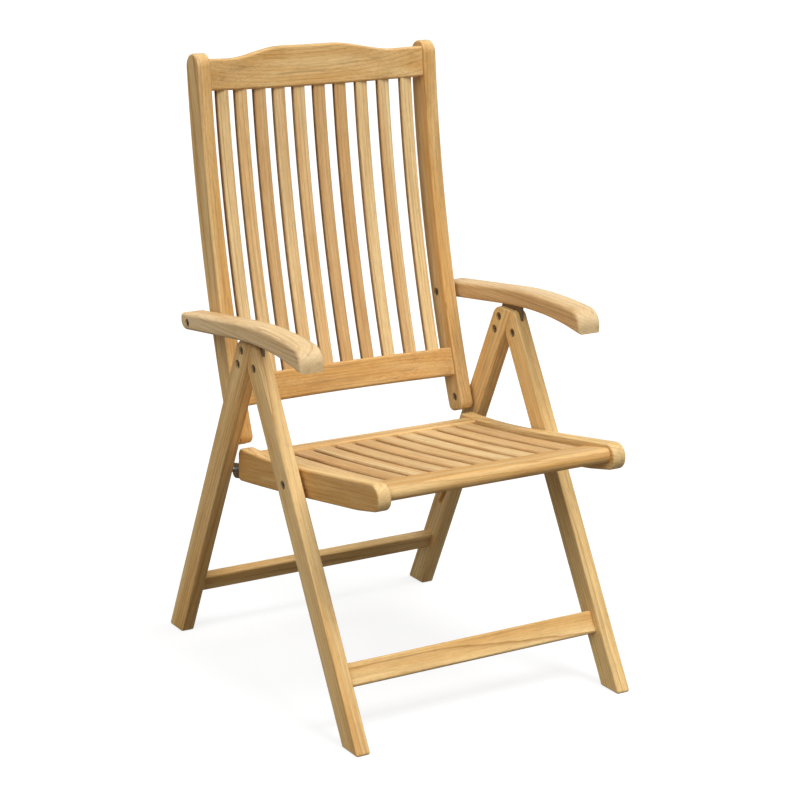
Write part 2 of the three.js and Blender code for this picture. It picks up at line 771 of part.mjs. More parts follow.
function backPoint(way, offset = 0) {
  const lean = backLeanAt(way);
  const y = back_radius * (Math.cos(lean) - Math.cos(back_lean)) + offset * Math.cos(lean);
  const z = back_radius * (Math.sin(back_lean) - Math.sin(lean)) - offset * Math.sin(lean);
  return at(y, z).add(back_pivot);
}

function wayAtHeight(height) {
  const rise = (height - back_pivot_height) / back_radius;
  return back_radius * (back_lean - Math.asin(Math.sin(back_lean) - rise));
}

function backStile() {
  const half = stile_depth / 2;
  const ahead = stile_setback - half;
  const behind = stile_setback + half;
  const ways = spread(-stile_tail, stile_length, back_steps);
  const crown = backPoint(stile_length, stile_setback);
  const crown_lean = backLeanAt(stile_length);
  const outline = roundedOutline([
    [backPoint(ways[0], ahead), stile_tail_radius],
    [backPoint(ways[0], behind), stile_tail_radius],
    ...sharp(ways.slice(1, -1).map((way) => backPoint(way, behind))),
    ...sharp(arcPoints(crown, half, -crown_lean, 180 * degree - crown_lean)),
    ...sharp(ways.slice(1, -1).reverse().map((way) => backPoint(way, ahead))),
  ]);
  return cut(
    board(outline, rail_inner_x, rail_outer_x, stile_edge_radius),
    turned(backBoltBore(), back_pivot),
    boltHole(arm_pivot, rail_inner_x, arm_outer_x),
    mortise(...lowerRailEnd(), rail_inner_x, rail_thickness),
    mortise(...topRailEnd(), rail_inner_x, rail_thickness),
  );
}

// The panel between the stiles is bowed to the rear in plan.
function bowAt(x) {
  const radius = (rail_inner_x ** 2 + panel_bow ** 2) / (2 * panel_bow);
  return Math.sqrt(radius ** 2 - x ** 2) - (radius - panel_bow);
}

function panelPoint(x, way, offset, bow = bowAt(x)) {
  const point = backPoint(way, offset - panel_inset).add(along(-back_chord_lean, bow));
  return new THREE.Vector3(x, point.x, point.y);
}

function bowedRail(bottomAt, topAt, end) {
  const reach = rail_inner_x - joint_gap;
  const half = back_rail_thickness / 2;
  const rings = spread(-reach, reach, bow_steps).map((x) => {
    const bottom = bottomAt(x);
    const top = topAt(x);
    const corners = [at(-half, bottom), at(half, bottom), at(half, top), at(-half, top)];
    const section = roundedOutline(corners.map((corner) => [corner, back_rail_edge_radius]));
    return section.map((point) => panelPoint(x, point.y, point.x));
  });
  return join(loft(rings), ...tenons(...end, rail_inner_x, rail_thickness));
}

function backRailEnd(way, height) {
  return [backPoint(way, -panel_inset), height, back_rail_thickness, 90 * degree - backLeanAt(way)];
}

function lowerRailEnd() {
  return backRailEnd(lower_rail_centre, lower_rail_height);
}

function topRailEnd() {
  return backRailEnd(top_rail_start + top_rail_end_height / 2, top_rail_end_height);
}

function backLowerRail() {
  const half = lower_rail_height / 2;
  return bowedRail(() => lower_rail_centre - half, () => lower_rail_centre + half, lowerRailEnd());
}

// The top rail rises to a crest in a smooth step on each side.
function topRailHeight(x) {
  const progress = (Math.abs(x) - top_rail_crest_half) / (top_rail_step_half - top_rail_crest_half);
  const eased = 0.5 + 0.5 * Math.cos(Math.PI * THREE.MathUtils.clamp(progress, 0, 1));
  return top_rail_end_height + top_rail_crest_rise * eased;
}

function backTopRail() {
  return bowedRail(() => top_rail_start, (x) => top_rail_start + topRailHeight(x), topRailEnd());
}

function backSlat(index) {
  const middle = (index - (back_slat_count - 1) / 2) * back_slat_pitch;
  const first = lower_rail_centre + lower_rail_height / 2 + back_slat_end_gap;
  const last = top_rail_start - back_slat_end_gap;
  const section = boardSection(at(middle, 0), back_slat_width, back_slat_thickness, 0, back_slat_edge_radius);
  const bow = bowAt(middle);
  return loft(spread(first, last, back_steps).map((way) =>
    section.map((corner) => panelPoint(corner.x, way, corner.y, bow))));
}

// Back pivot bolts: head inside the stile, a collar in the gap, a plain end in the leg.
function backBoltProfile() {
  const start = rail_inner_x + bolt_recess;
  const head_end = start + bolt_head_height;
  const collar_start = rail_outer_x + joint_gap;
  const collar_end = leg_inner_x - joint_gap;
  const end = leg_inner_x + back_bolt_entry;
  return [at(0, start), at(bolt_head_radius, start), at(bolt_head_radius, head_end),
    at(bolt_radius, head_end), at(bolt_radius, collar_start), at(back_collar_radius, collar_start),
    at(back_collar_radius, collar_end), at(bolt_radius, collar_end), at(bolt_radius, end), at(0, end)];
}

function backBoltBore() {
  const start = rail_inner_x + bolt_recess;
  const end = leg_inner_x + back_bolt_entry + joint_gap;
  const seat = start + bolt_head_height + joint_gap;
  const head = bolt_head_radius + bore_gap;
  const shank = bolt_radius + bore_gap;
  return [at(0, start - overrun), at(head, start - overrun), at(head, seat), at(shank, seat),
    at(shank, end), at(0, end)];
}

// Top or bottom line of the arm: an arc over a crest, running out straight to the rear.
function armLine(crest, front_radius) {
  const straight_y = crest.x + arm_rear_radius * Math.sin(arm_rear_slope);
  const fallAt = (run, radius) => radius - Math.sqrt(radius ** 2 - run ** 2);
  return (y) => {
    if (y < crest.x) return crest.y - fallAt(crest.x - y, front_radius);
    const curved = Math.min(y, straight_y) - crest.x;
    return crest.y - fallAt(curved, arm_rear_radius) - Math.tan(arm_rear_slope) * Math.max(0, y - straight_y);
  };
}

const armTopAt = armLine(arm_top_crest, arm_top_front_radius);
const armBottomAt = armLine(arm_bottom_crest, arm_bottom_front_radius);

function arm() {
  const corner = (y, lineAt, radius) => [at(y, lineAt(y)), radius];
  const front_y = apex_y - arm_front_reach;
  const rear_y = arm_pivot.x + arm_tail;
  const nose_radius = (armTopAt(front_y) - armBottomAt(front_y)) * arm_nose_share;
  const nose_room = front_y + nose_radius * corner_room_share;
  const tail_room = rear_y - arm_tail_bottom_radius * corner_room_share;
  const outline = roundedOutline([
    corner(front_y, armTopAt, nose_radius),
    corner(front_y, armBottomAt, 0),
    ...sharp(sampled(armBottomAt, nose_room, tail_room, arm_steps)),
    corner(rear_y, armBottomAt, arm_tail_bottom_radius),
    corner(rear_y, armTopAt, arm_tail_top_radius),
    ...sharp(sampled(armTopAt, tail_room, nose_room, arm_steps)),
  ]);
  const channel_front_y = apex_y - channel_front_reach;
  const channel_rear_y = apex_y + channel_rear_reach;
  const roof = sampled(armBottomAt, channel_front_y, channel_rear_y);
  const channel = [
    ...roof.map((point) => at(point.x, point.y + channel_depth)),
    at(channel_rear_y, arm_bottom_crest.y - 2 * overrun),
    at(channel_front_y, arm_bottom_crest.y - 2 * overrun),
  ];
  return cut(
    board(outline, arm_inner_x, arm_outer_x, arm_edge_radius, arm_edge_steps),
    middleBoard(channel, channel_width),
    boltHole(arm_pivot, rail_inner_x, arm_outer_x),
  );
}

// Rack: a toothed steel bar against the roof of the channel.
function armRack() {
  const roof = (y) => armBottomAt(y) + channel_depth - joint_gap;
  const rack_front_y = apex_y - channel_front_reach + rack_end_gap;
  const rack_rear_y = apex_y + channel_rear_reach - rack_end_gap;
  const pitch = (rack_rear_y - rack_front_y) / rack_tooth_count;
  const root = (y) => at(y, roof(y) - rack_web);
  const tip = (y) => at(y, roof(y) - rack_web - rack_tooth);
  const starts = spread(rack_front_y, rack_rear_y - pitch, rack_tooth_count - 1);
  const teeth = starts.flatMap((y) => [root(y), tip(y + pitch)]);
  return middleBoard([...teeth, ...sampled(roof, rack_rear_y, rack_front_y)], rack_thickness);
}

// The whole chair: each group turns about its pivot when the chair folds or reclines.
const chair = new THREE.Group();
chair.userData.origin = new THREE.Vector3();

addPair(chair, 'rear_leg', rearLeg(), frameTeak);
addPiece(chair, 'rear_stretcher',
  stretcher(rearAxisAt, rear_board_angle, rear_stretcher_height, rear_stretcher_depth), frameTeak());
addPair(chair, 'apex_plate', apexPlate(), darkSteel);
plateBolts().forEach((centre, index) => {
  const name = ['upper_plate_bolt', 'lower_plate_bolt'][index];
  addPair(chair, name, bolt(centre, leg_inner_x, leg_outer_x), darkSteel);
});

const front_legs = turningGroup(chair, apex);
addPair(front_legs, 'front_leg', frontLeg(), frameTeak);
addPiece(front_legs, 'front_stretcher',
  stretcher(frontAxisAt, front_board_angle, front_stretcher_height, front_stretcher_depth), frameTeak());
addPair(front_legs, 'apex_pivot_bolt', bolt(apex, leg_inner_x, leg_outer_x), darkSteel);

const seat = turningGroup(front_legs, seat_pivot);
addPair(seat, 'seat_rail', seatRail(), frameTeak);
addPiece(seat, 'seat_front_rail', crossRail(frontRailSection(), frontRailEnd()), frameTeak());
addPiece(seat, 'seat_rear_rail',
  crossRail(boardSection(...rearRailEnd(), seat_rear_rail_radius), rearRailEnd()), frameTeak());
for (let index = 0; index < seat_slat_count; index += 1) {
  addPiece(seat, `seat_slat_${index + 1}`, seatSlat(index), slatTeak());
}
addPair(seat, 'seat_pivot_bolt', bolt(seat_pivot, rail_inner_x, leg_outer_x), darkSteel);
addPair(seat, 'seat_spacer', spacer(seat_pivot, seat_spacer_radius, leg_inner_x), darkSteel);
addPair(seat, 'seat_bracket', seatBracket(), brightSteel);

const back_pivots = turningGroup(chair, back_pivot);
addPair(back_pivots, 'back_pivot_bolt', turned(backBoltProfile(), back_pivot), darkSteel);

const back = turningGroup(back_pivots, back_pivot);
addPair(back, 'back_stile', backStile(), frameTeak);
addPiece(back, 'back_lower_rail', backLowerRail(), frameTeak());
addPiece(back, 'back_top_rail', backTopRail(), frameTeak());
for (let index = 0; index < back_slat_count; index += 1) {
  addPiece(back, `back_slat_${index + 1}`, backSlat(index), slatTeak());
}

const arms = turningGroup(back, arm_pivot);
addPair(arms, 'arm_bolt', bolt(arm_pivot, rail_inner_x, arm_outer_x), darkSteel);
addPair(arms, 'arm_spacer', spacer(arm_pivot, arm_spacer_radius, arm_inner_x), darkSteel);
addPair(arms, 'arm', arm(), armTeak);
addPair(arms, 'arm_rack', armRack(), darkSteel);

export default chair;
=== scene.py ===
import json
import math
import random

import bpy
import numpy as np
from mathutils import Matrix, Vector


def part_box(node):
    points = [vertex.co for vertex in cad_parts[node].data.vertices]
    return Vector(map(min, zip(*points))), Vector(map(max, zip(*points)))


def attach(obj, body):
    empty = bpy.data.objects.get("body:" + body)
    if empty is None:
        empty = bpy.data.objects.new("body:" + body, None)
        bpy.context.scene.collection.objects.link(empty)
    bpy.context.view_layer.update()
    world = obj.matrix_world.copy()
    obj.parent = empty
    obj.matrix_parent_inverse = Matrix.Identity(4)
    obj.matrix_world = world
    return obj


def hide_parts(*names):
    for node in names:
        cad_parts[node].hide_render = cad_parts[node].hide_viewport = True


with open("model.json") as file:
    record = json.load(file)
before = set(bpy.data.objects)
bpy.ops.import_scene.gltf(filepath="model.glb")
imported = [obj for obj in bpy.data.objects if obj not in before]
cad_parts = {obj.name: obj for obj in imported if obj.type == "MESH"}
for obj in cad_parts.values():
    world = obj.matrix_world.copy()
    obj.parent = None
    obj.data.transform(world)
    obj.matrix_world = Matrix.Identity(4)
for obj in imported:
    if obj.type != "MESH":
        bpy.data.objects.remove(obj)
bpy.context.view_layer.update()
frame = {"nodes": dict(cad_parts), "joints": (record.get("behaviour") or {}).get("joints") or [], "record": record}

# Rear legs: two sawn teak boards that lean back from the top to the floor.
# Long edges are rounded over, shoulders cut to an arch, and the wood is sanded and left unoiled.
# Each is slotted for a steel plate and grooved on its inner face for the guide pin of the seat.
mm = 0.001
draw = random.Random(11)
joint_at = {joint["name"]: Vector(joint["pos_m"][1:]) for joint in frame["joints"]}
apex = joint_at["fold"]
leg_inner, leg_outer = (corner.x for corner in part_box("rear_leg_right"))
leg_middle = (leg_inner + leg_outer) / 2

leg_width = 46 * mm
leg_gap = 0.6 * mm
leg_edge = 3.5 * mm
leg_top = apex.y + 40 * mm
foot_radius = 4 * mm
rear_lean = math.radians(25)
shoulder_radius = 26 * mm
tip_radius = 5 * mm
bore_gap = 0.35 * mm
joint_gap = 0.3 * mm
overrun = 20 * mm
arc_step = math.radians(8)
edge_steps = 5
quarter = math.pi / 2


def linear(colour):
    """The linear values of an sRGB hex colour."""
    shares = [int(colour[start:start + 2], 16) / 255 for start in (1, 3, 5)]
    return [s / 12.92 if s <= 0.04045 else ((s + 0.055) / 1.055) ** 2.4 for s in shares] + [1]


def add(tree, kind, inputs=None, **settings):
    """Adds a node with its settings. An input is a value, or the socket or node that feeds it."""
    node = tree.nodes.new(kind)
    for name, value in settings.items():
        setattr(node, name, value)
    for name, value in (inputs or {}).items():
        if isinstance(value, bpy.types.Node):
            value = value.outputs[0]
        if isinstance(value, bpy.types.NodeSocket):
            tree.links.new(value, node.inputs[name])
        else:
            node.inputs[name].default_value = value
    return node


def new_material(name):
    """A material and its empty tree."""
    material = bpy.data.materials.new(name)
    material.use_nodes = True
    material.node_tree.nodes.clear()
    return material, material.node_tree


# Sanded teak, unoiled: straw to honey between thin brown ring lines, with long soft streaks and
# short dark pores. The pattern is solid, so ends show the rings that the faces show as lines.
# Handling has rubbed the rounded edges paler and smoother.
def teak(name, straw, honey, line, streak, drift=20 * mm):
    material, tree = new_material(name)
    grain = add(tree, "ShaderNodeAttribute", attribute_name="grain").outputs["Vector"]
    tone, end, edge = (add(tree, "ShaderNodeAttribute", attribute_name=attribute).outputs["Fac"]
                       for attribute in ("tone", "end_grain", "edge"))

    # Noises drawn out along the grain: length and width of their features in mm, detail, roughness.
    # Fibres and pores are two to three times coarser than real ones, which would not show
    noises = {}
    for part, length, width, detail, rough in (
            ("drift", 625, 111.1, 1.5, 0.4), ("wobble", 111.1, 11.11, 2, 0.5),
            ("fibre", 71.43, 1.786, 4, 0.65), ("band", 714.3, 29.41, 2, 0.55),
            ("dark_band", 416.7, 11.11, 3, 0.6), ("smudge", 125, 38.46, 4, 0.6),
            ("pore", 16.667, 0.6667, 2, 0.55), ("wear", 55.56, 8.333, 3, 0.55)):
        drawn_out = add(tree, "ShaderNodeMapping", {
            "Vector": grain, "Scale": [1 / (size * mm) for size in (length, width, width)]})
        noises[part] = add(tree, "ShaderNodeTexNoise", {
            "Vector": drawn_out, "Scale": 1, "Detail": detail, "Roughness": rough})

    # Rings: distance from the heart of the log, drifting along it, in steps of one year
    ring_spacing = 6.5 * mm
    wobble = 2.6 * mm
    taper = 0.011
    across = add(tree, "ShaderNodeVectorMath", {0: grain, 1: (0, 1, 1)}, operation="MULTIPLY")
    radius = add(tree, "ShaderNodeVectorMath", {0: across}, operation="LENGTH").outputs["Value"]
    lengthwise = add(tree, "ShaderNodeSeparateXYZ", {0: grain})
    for part, size in ((noises["drift"], drift), (noises["wobble"], wobble), (lengthwise, taper)):
        radius = add(tree, "ShaderNodeMath", {0: part, 1: size, 2: radius}, operation="MULTIPLY_ADD")
    year = add(tree, "ShaderNodeMath", {0: radius, 1: ring_spacing}, operation="DIVIDE")
    season = add(tree, "ShaderNodeMath", {0: year}, operation="FRACT")
    whole_year = add(tree, "ShaderNodeMath", {0: year}, operation="FLOOR")
    growth = add(tree, "ShaderNodeTexWhiteNoise", {"W": whole_year}, noise_dimensions="1D")
    strength = add(tree, "ShaderNodeMapRange", {"Value": growth.outputs["Value"], "To Min": 0.2})
    late_wood = add(tree, "ShaderNodeFloatCurve", {"Value": season})
    curve = late_wood.mapping.curves[0]
    curve.points[0].location = (0, 0.8)
    curve.points[1].location = (1, 1.0)
    for place in ((0.07, 0.1), (0.4, 0.0), (0.8, 0.22), (0.93, 0.8)):
        curve.points.new(*place)
    late_wood.mapping.update()
    ring = add(tree, "ShaderNodeMath", {0: late_wood, 1: strength}, operation="MULTIPLY")

    # Colour: from pale to warm with the band and the board, then a layer for each thing that shows,
    # as (what shows, where it starts, where it is full, how much it covers, its colour)
    warmth = add(tree, "ShaderNodeMapRange", {
        "Value": noises["band"], "From Min": 0.3, "From Max": 0.7, "To Min": -0.1})
    warmth = add(tree, "ShaderNodeMath", {0: tone, 1: 0.55, 2: warmth}, operation="MULTIPLY_ADD")
    colour = add(tree, "ShaderNodeMix", {0: warmth, 6: linear(straw), 7: linear(honey)}, data_type="RGBA")
    ring_cover = add(tree, "ShaderNodeMapRange", {
        "Value": end, "From Min": 0.6, "From Max": 1, "To Min": 0.78, "To Max": 0.3})
    worn = add(tree, "ShaderNodeMapRange", {
        "Value": noises["wear"], "From Min": 0.35, "From Max": 0.65, "To Max": edge})
    golden = "#eec272"
    # tone is each board's own tone; on slat sides and seat rail faces it also carries painted shade
    for part, start, full, most, shade in (
            (tone, 0, 2, 0.54, line), (tone, 0, -1, 0.4, golden),
            (noises["smudge"], 0.5, 0.75, 0.24, streak), (end, 0.5, 0.95, 0.65, straw),
            (ring, 0, 1, ring_cover, line), (noises["dark_band"], 0.55, 0.8, 0.55, streak),
            (noises["fibre"], 0.45, 0.8, 0.44, line), (noises["fibre"], 0.5, 0.2, 0.3, straw),
            (noises["pore"], 0.58, 0.68, 0.34, streak), (end, 0.75, 1, 0.12, streak),
            (worn, 0, 1, 0.4, straw)):
        cover = add(tree, "ShaderNodeMapRange", {
            "Value": part, "From Min": start, "From Max": full, "To Max": most})
        colour = add(tree, "ShaderNodeMix", {0: cover, 6: colour.outputs[2], 7: linear(shade)},
                     data_type="RGBA")

    # Relief: the fibres stand up, pores and late wood lie deeper
    relief = noises["fibre"]
    for part, start, full, depth in ((noises["pore"], 0.58, 0.68, 0.9), (ring, 0, 1, 0.35)):
        dip = add(tree, "ShaderNodeMapRange", {
            "Value": part, "From Min": start, "From Max": full, "To Max": depth})
        relief = add(tree, "ShaderNodeMath", {0: relief, 1: dip}, operation="SUBTRACT")
    bump = add(tree, "ShaderNodeBump", {"Height": relief, "Strength": 0.5, "Distance": 0.35 * mm})
    roughness = add(tree, "ShaderNodeMapRange", {
        "Value": noises["fibre"], "From Min": 0.3, "From Max": 0.7, "To Min": 0.52, "To Max": 0.7})
    roughness = add(tree, "ShaderNodeMath", {0: worn, 1: -0.12, 2: roughness}, operation="MULTIPLY_ADD")
    surface = add(tree, "ShaderNodeBsdfPrincipled", {
        "Base Color": colour.outputs[2], "Roughness": roughness, "IOR": 1.46, "Normal": bump})
    add(tree, "ShaderNodeOutputMaterial", {"Surface": surface})
    return material


frame_teak = teak("sanded_frame_teak", "#f2d194", "#ddab63", "#a4702f", "#875d30")


def along(angle, length):
    """A step seen from the side, where a point is (y, z)."""
    return Vector((math.cos(angle), math.sin(angle))) * length


def arc(centre, radius, start, end):
    steps = max(2, math.ceil(abs(end - start) / arc_step))
    return [centre + along(start + (end - start) * step / steps, radius) for step in range(steps + 1)]


def rounded(corners):
    """A closed outline whose corners, given as (point, radius), are rounded."""
    outline = []
    for index, (corner, radius) in enumerate(corners):
        back = (corners[index - 1][0] - corner).normalized()
        ahead = (corners[(index + 1) % len(corners)][0] - corner).normalized()
        half = back.angle(ahead) / 2
        if radius == 0:
            outline.append(corner)
            continue
        centre = corner + (back + ahead).normalized() * (radius / math.sin(half))
        first = corner + back * (radius / math.tan(half)) - centre
        last = corner + ahead * (radius / math.tan(half)) - centre
        start = math.atan2(first.y, first.x)
        outline += arc(centre, radius, start, start + math.atan2(first.cross(last), first.dot(last)))
    return outline


def sharp(points):
    return [(point, 0) for point in points]


def spread(first, last, steps):
    return [first + (last - first) * step / steps for step in range(steps + 1)]


def section(centre, width, thickness, angle, radius=0):
    """The end of a board, turned by an angle from the y axis."""
    forward = along(angle, width / 2)
    up = along(angle + quarter, thickness / 2)
    return rounded([(centre + forward * a + up * b, radius) for a, b in ((-1, -1), (1, -1), (1, 1), (-1, 1))])


def inset(outline, distance):
    """The outline moved inwards by a distance, for one that runs anticlockwise."""
    moved = []
    for index, point in enumerate(outline):
        before = (point - outline[index - 1]).normalized()
        after = (outline[(index + 1) % len(outline)] - point).normalized()
        inwards = Vector((-before.y - after.y, before.x + after.x))
        moved.append(point + inwards * (distance / (1 + before.dot(after))))
    return moved


def faced_outwards(mesh):
    if sum(face.center.dot(face.normal) * face.area for face in mesh.polygons) < 0:
        mesh.flip_normals()
    return mesh


def loft(name, rings, hollow=False):
    """A closed skin over rings of points. A hollow one has no ends: its last ring meets its first."""
    count = len(rings[0])
    total = len(rings) * count
    faces = [] if hollow else [list(range(count)), list(range(total - 1, total - count - 1, -1))]
    for start in range(0, total if hollow else total - count, count):
        beyond = (start + count) % total
        for side in range(count):
            ahead = (side + 1) % count
            faces.append((start + side, beyond + side, beyond + ahead, start + ahead))
    mesh = bpy.data.meshes.new(name)
    mesh.from_pydata([point for ring in rings for point in ring], [], faces)
    return faced_outwards(mesh)


def board(name, outline, inner, outer, edge=0.0):
    """A board with a side outline, between two planes across the chair, its long edges rounded."""
    points = [point for index, point in enumerate(outline) if (point - outline[index - 1]).length > 1e-6]
    turn = sum(point.cross(points[index - 1]) for index, point in enumerate(points))
    if turn > 0:
        points.reverse()
    half = []
    for step in range(edge_steps + 1 if edge else 1):
        angle = quarter * step / edge_steps
        half.append((edge * (1 - math.cos(angle)), edge * (1 - math.sin(angle)) if edge else 0))
    rings = [(inner + depth, rim) for depth, rim in half]
    rings += [(outer - depth, rim) for depth, rim in reversed(half)]
    return loft(name, [[(x, *point) for point in inset(points, rim)] for x, rim in rings])


def turned(name, profile, centre=Vector((0, 0)), sides=32, hollow=False):
    """A turned piece on an axis across the chair, from a profile of (x, radius). A radius may be a
    function of the angle."""
    angles = [2 * math.pi * side / sides for side in range(sides)]
    return loft(name, [[(x, *(centre + along(angle, radius(angle) if callable(radius) else radius)))
                        for angle in angles] for x, radius in profile], hollow)


def linked(name, data):
    piece = bpy.data.objects.new(name, data)
    bpy.context.scene.collection.objects.link(piece)
    return piece


def baked(piece):
    """The piece's mesh with its modifiers applied, and the piece removed."""
    depsgraph = bpy.context.evaluated_depsgraph_get()
    mesh = bpy.data.meshes.new_from_object(
        piece.evaluated_get(depsgraph), preserve_all_data_layers=True, depsgraph=depsgraph)
    mesh.name = piece.name
    bpy.data.objects.remove(piece)
    return mesh


def carved(mesh, *cutters, operation="DIFFERENCE"):
    """The mesh with the cutters taken out of it, or made one with it."""
    piece = linked(mesh.name, mesh)
    tools = [linked("cutter", cutter) for cutter in cutters]
    for tool in tools:
        cut = piece.modifiers.new("cut", "BOOLEAN")
        cut.operation = operation
        cut.solver = "EXACT"
        cut.object = tool
    result = baked(piece)
    for tool in tools:
        bpy.data.objects.remove(tool)
    return result


def mirrored(mesh):
    copy = mesh.copy()
    copy.transform(Matrix.Scale(-1, 4, (1, 0, 0)))
    copy.flip_normals()
    return copy


def smoothed(mesh, material):
    """Smooth shading between crisp edges, with flat faces kept flat."""
    sharp_angle = math.radians(38)
    mesh.shade_smooth()
    mesh.set_sharp_from_angle(angle=sharp_angle)
    mesh.materials.clear()
    mesh.materials.append(material)
    piece = linked(mesh.name, mesh)
    normals = piece.modifiers.new("normals", "WEIGHTED_NORMAL")
    normals.keep_sharp = True
    return baked(piece)


def stored(mesh, name, values):
    """Keeps a number for each point of a mesh."""
    mesh.attributes.new(name, "FLOAT", "POINT").data.foreach_set("value", values)


def sawn(mesh, start, lengthwise, wide, heart, tone, sides=0.0):
    """Stores where in the log each point of a board lies, and how it faces: along the grain, or
    askew, as only the rounded edges do. Faces across its third axis are darkened by sides, as
    painted shade."""
    axes = np.array([lengthwise, wide, Vector(lengthwise).cross(Vector(wide))])
    shift = np.array([draw.uniform(0, 12), *heart])
    places = np.empty(len(mesh.vertices) * 3, np.float32)
    normals = places.copy()
    mesh.vertices.foreach_get("co", places)
    mesh.vertices.foreach_get("normal", normals)
    grain = (places.reshape(-1, 3) - np.array(start)) @ axes.T + shift
    facing = np.abs(normals.reshape(-1, 3) @ axes.T)
    mesh.attributes.new("grain", "FLOAT_VECTOR", "POINT").data.foreach_set("vector", grain.ravel())
    stored(mesh, "end_grain", facing[:, 0])
    stored(mesh, "edge", np.clip((0.96 - facing.max(axis=1)) / 0.2, 0, 1))
    # Painted shade: tone is raised by sides on faces across the board's third axis
    stored(mesh, "tone", tone + sides * facing[:, 2])


def any_heart():
    """A place for the middle of the log beside a board: (across its width, through it)."""
    return draw.uniform(-70, 70) * mm, draw.choice((-1, 1)) * draw.uniform(35, 110) * mm


def fitted(name, mesh, body, slot, *nodes):
    """Puts a finished piece in the scene: on its body, in place of the nodes it shows. The slot is not used."""
    piece = linked(name, mesh)
    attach(piece, body)
    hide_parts(*nodes)


def wooden_pair(name, mesh, body, lengthwise, left, right, sides=0.0, slot="teak_frame",
                material=frame_teak):
    """A board at the right and its mirror image at the left, each from another part of the log, with
    tones of their own. Their sides may be painted darker, as painted shade."""
    wide = Vector((1, 0, 0)).cross(lengthwise)
    for side, half, tone in (("right", mesh, right), ("left", mirrored(mesh), left)):
        finished = smoothed(half, material)
        sawn(finished, (0, 0, 0), lengthwise, wide, any_heart(), tone, sides)
        fitted(f"teak_{name}_{side}", finished, body.format(side), slot, f"{name}_{side}")


def rear_axis(height):
    return apex.x + (leg_width + leg_gap) / math.cos(rear_lean) + math.tan(rear_lean) * (apex.y - height)


def leg_corner(axis, lean, height, side, radius):
    return Vector((axis(height) + side * leg_width / 2 / math.cos(lean), height)), radius


def hull(circles, grow=0.0):
    """The outline drawn tightly round a few circles, given as (centre, radius)."""
    cloud = [centre + along(angle, radius + grow) for centre, radius in circles
             for angle in spread(0, 2 * math.pi, 60)[1:]]
    cloud.sort(key=lambda point: (point.x, point.y))
    outline = []
    for ordered in (cloud, cloud[::-1]):
        side = []
        for point in ordered:
            while len(side) > 1 and (side[-1] - side[-2]).cross(point - side[-1]) <= 0:
                side.pop()
            side.append(point)
        outline += side[:-1]
    return outline


plate_thickness = 5 * mm
plate_bolts = [apex + Vector((44.9, 21.8)) * mm, apex + Vector((57.9, -5)) * mm]
apex_lobe = 14 * mm
bolt_lobe = 12 * mm
catch_corner = 4 * mm
catch_front = Vector((apex.x - 8 * mm, leg_top + 8 * mm))
catch_rear = Vector((apex.x + 45 * mm, leg_top + 3.5 * mm))
plate_circles = [(apex, apex_lobe), *[(place, bolt_lobe) for place in plate_bolts],
                 (catch_front, catch_corner), (catch_rear, catch_corner)]
slot_half = plate_thickness / 2 + bore_gap

bolt_radius = 3 * mm
bolt_head = 6.8 * mm
bolt_head_height = 4 * mm
bolt_recess = 1.5 * mm
recess_room = 1 * mm


def bore(centre, inner_face, outer_face):
    """A hole for a bolt, wider at both ends for its sunk heads."""
    head = bolt_head + recess_room
    shank = bolt_radius + bore_gap
    first = inner_face + bolt_recess + bolt_head_height + joint_gap
    last = outer_face - bolt_recess - bolt_head_height - joint_gap
    return turned("bore", [(inner_face - overrun, head), (first, head), (first, shank),
                           (last, shank), (last, head), (outer_face + overrun, head)], centre)


# The groove follows the guide pin while the front legs and the seat fold together.
guide_pin_radius = 5 * mm
guide_groove_depth = 10 * mm
seat_pivot = joint_at["seat_fold"]
back_pivot = joint_at["back_fold"]
guide_pin_height = 355 * mm
guide_pin_ahead = 11.4 * mm
guide_pin = Vector((rear_axis(guide_pin_height) - guide_pin_ahead, guide_pin_height))
fold_turn = math.radians(next(j["range_deg"][1] for j in frame["joints"] if j["name"] == "fold"))
seat_ratio = next(c["ratio"] for c in frame["record"]["behaviour"]["couplings"] if c["joint"] == "seat_fold")


def rotated(point, centre, angle):
    return centre + Matrix.Rotation(angle, 2) @ (point - centre)


def pin_place(share):
    pivot = rotated(seat_pivot, apex, fold_turn * share)
    return pivot + Matrix.Rotation(fold_turn * (1 + seat_ratio) * share, 2) @ (guide_pin - seat_pivot)


pin_way = [pin_place(share) for share in spread(0, 1, 12)]
groove_radius = guide_pin_radius + 2 * bore_gap


def groove_outline():
    headings = [math.atan2(*(after - before).yx) for before, after in
                zip([pin_way[0], *pin_way[:-1]], [*pin_way[1:], pin_way[-1]])]
    first, last = headings[0], headings[-1]
    inner = list(zip(pin_way, headings))[1:-1]
    right_side = [point + along(heading - quarter, groove_radius) for point, heading in inner]
    left_side = [point + along(heading + quarter, groove_radius) for point, heading in inner]
    return [*arc(pin_way[0], groove_radius, first - quarter, first - 3 * quarter)[::-1], *right_side,
            *arc(pin_way[-1], groove_radius, last - quarter, last + quarter), *left_side[::-1]]


back_bolt_end = leg_inner + 16 * mm
rear_outline = rounded([leg_corner(rear_axis, rear_lean, *corner) for corner in (
    (0, -1, foot_radius), (0, 1, foot_radius), (leg_top, 1, shoulder_radius), (leg_top, -1, tip_radius))])
rear_leg = carved(
    board("rear_leg", rear_outline, leg_inner, leg_outer, leg_edge),
    board("slot", hull(plate_circles, bore_gap), leg_middle - slot_half, leg_middle + slot_half),
    *[bore(centre, leg_inner, leg_outer) for centre in plate_bolts],
    board("groove", groove_outline(), leg_inner - overrun, leg_inner + guide_groove_depth),
    turned("pivot_bore", [(leg_inner - overrun, bolt_radius + bore_gap),
                          (back_bolt_end + joint_gap, bolt_radius + bore_gap)], back_pivot),
)
rear_lengthwise = Vector((0, -math.sin(rear_lean), math.cos(rear_lean)))
wooden_pair("rear_leg", rear_leg, "rear_legs", rear_lengthwise, left=0.25, right=-0.3)

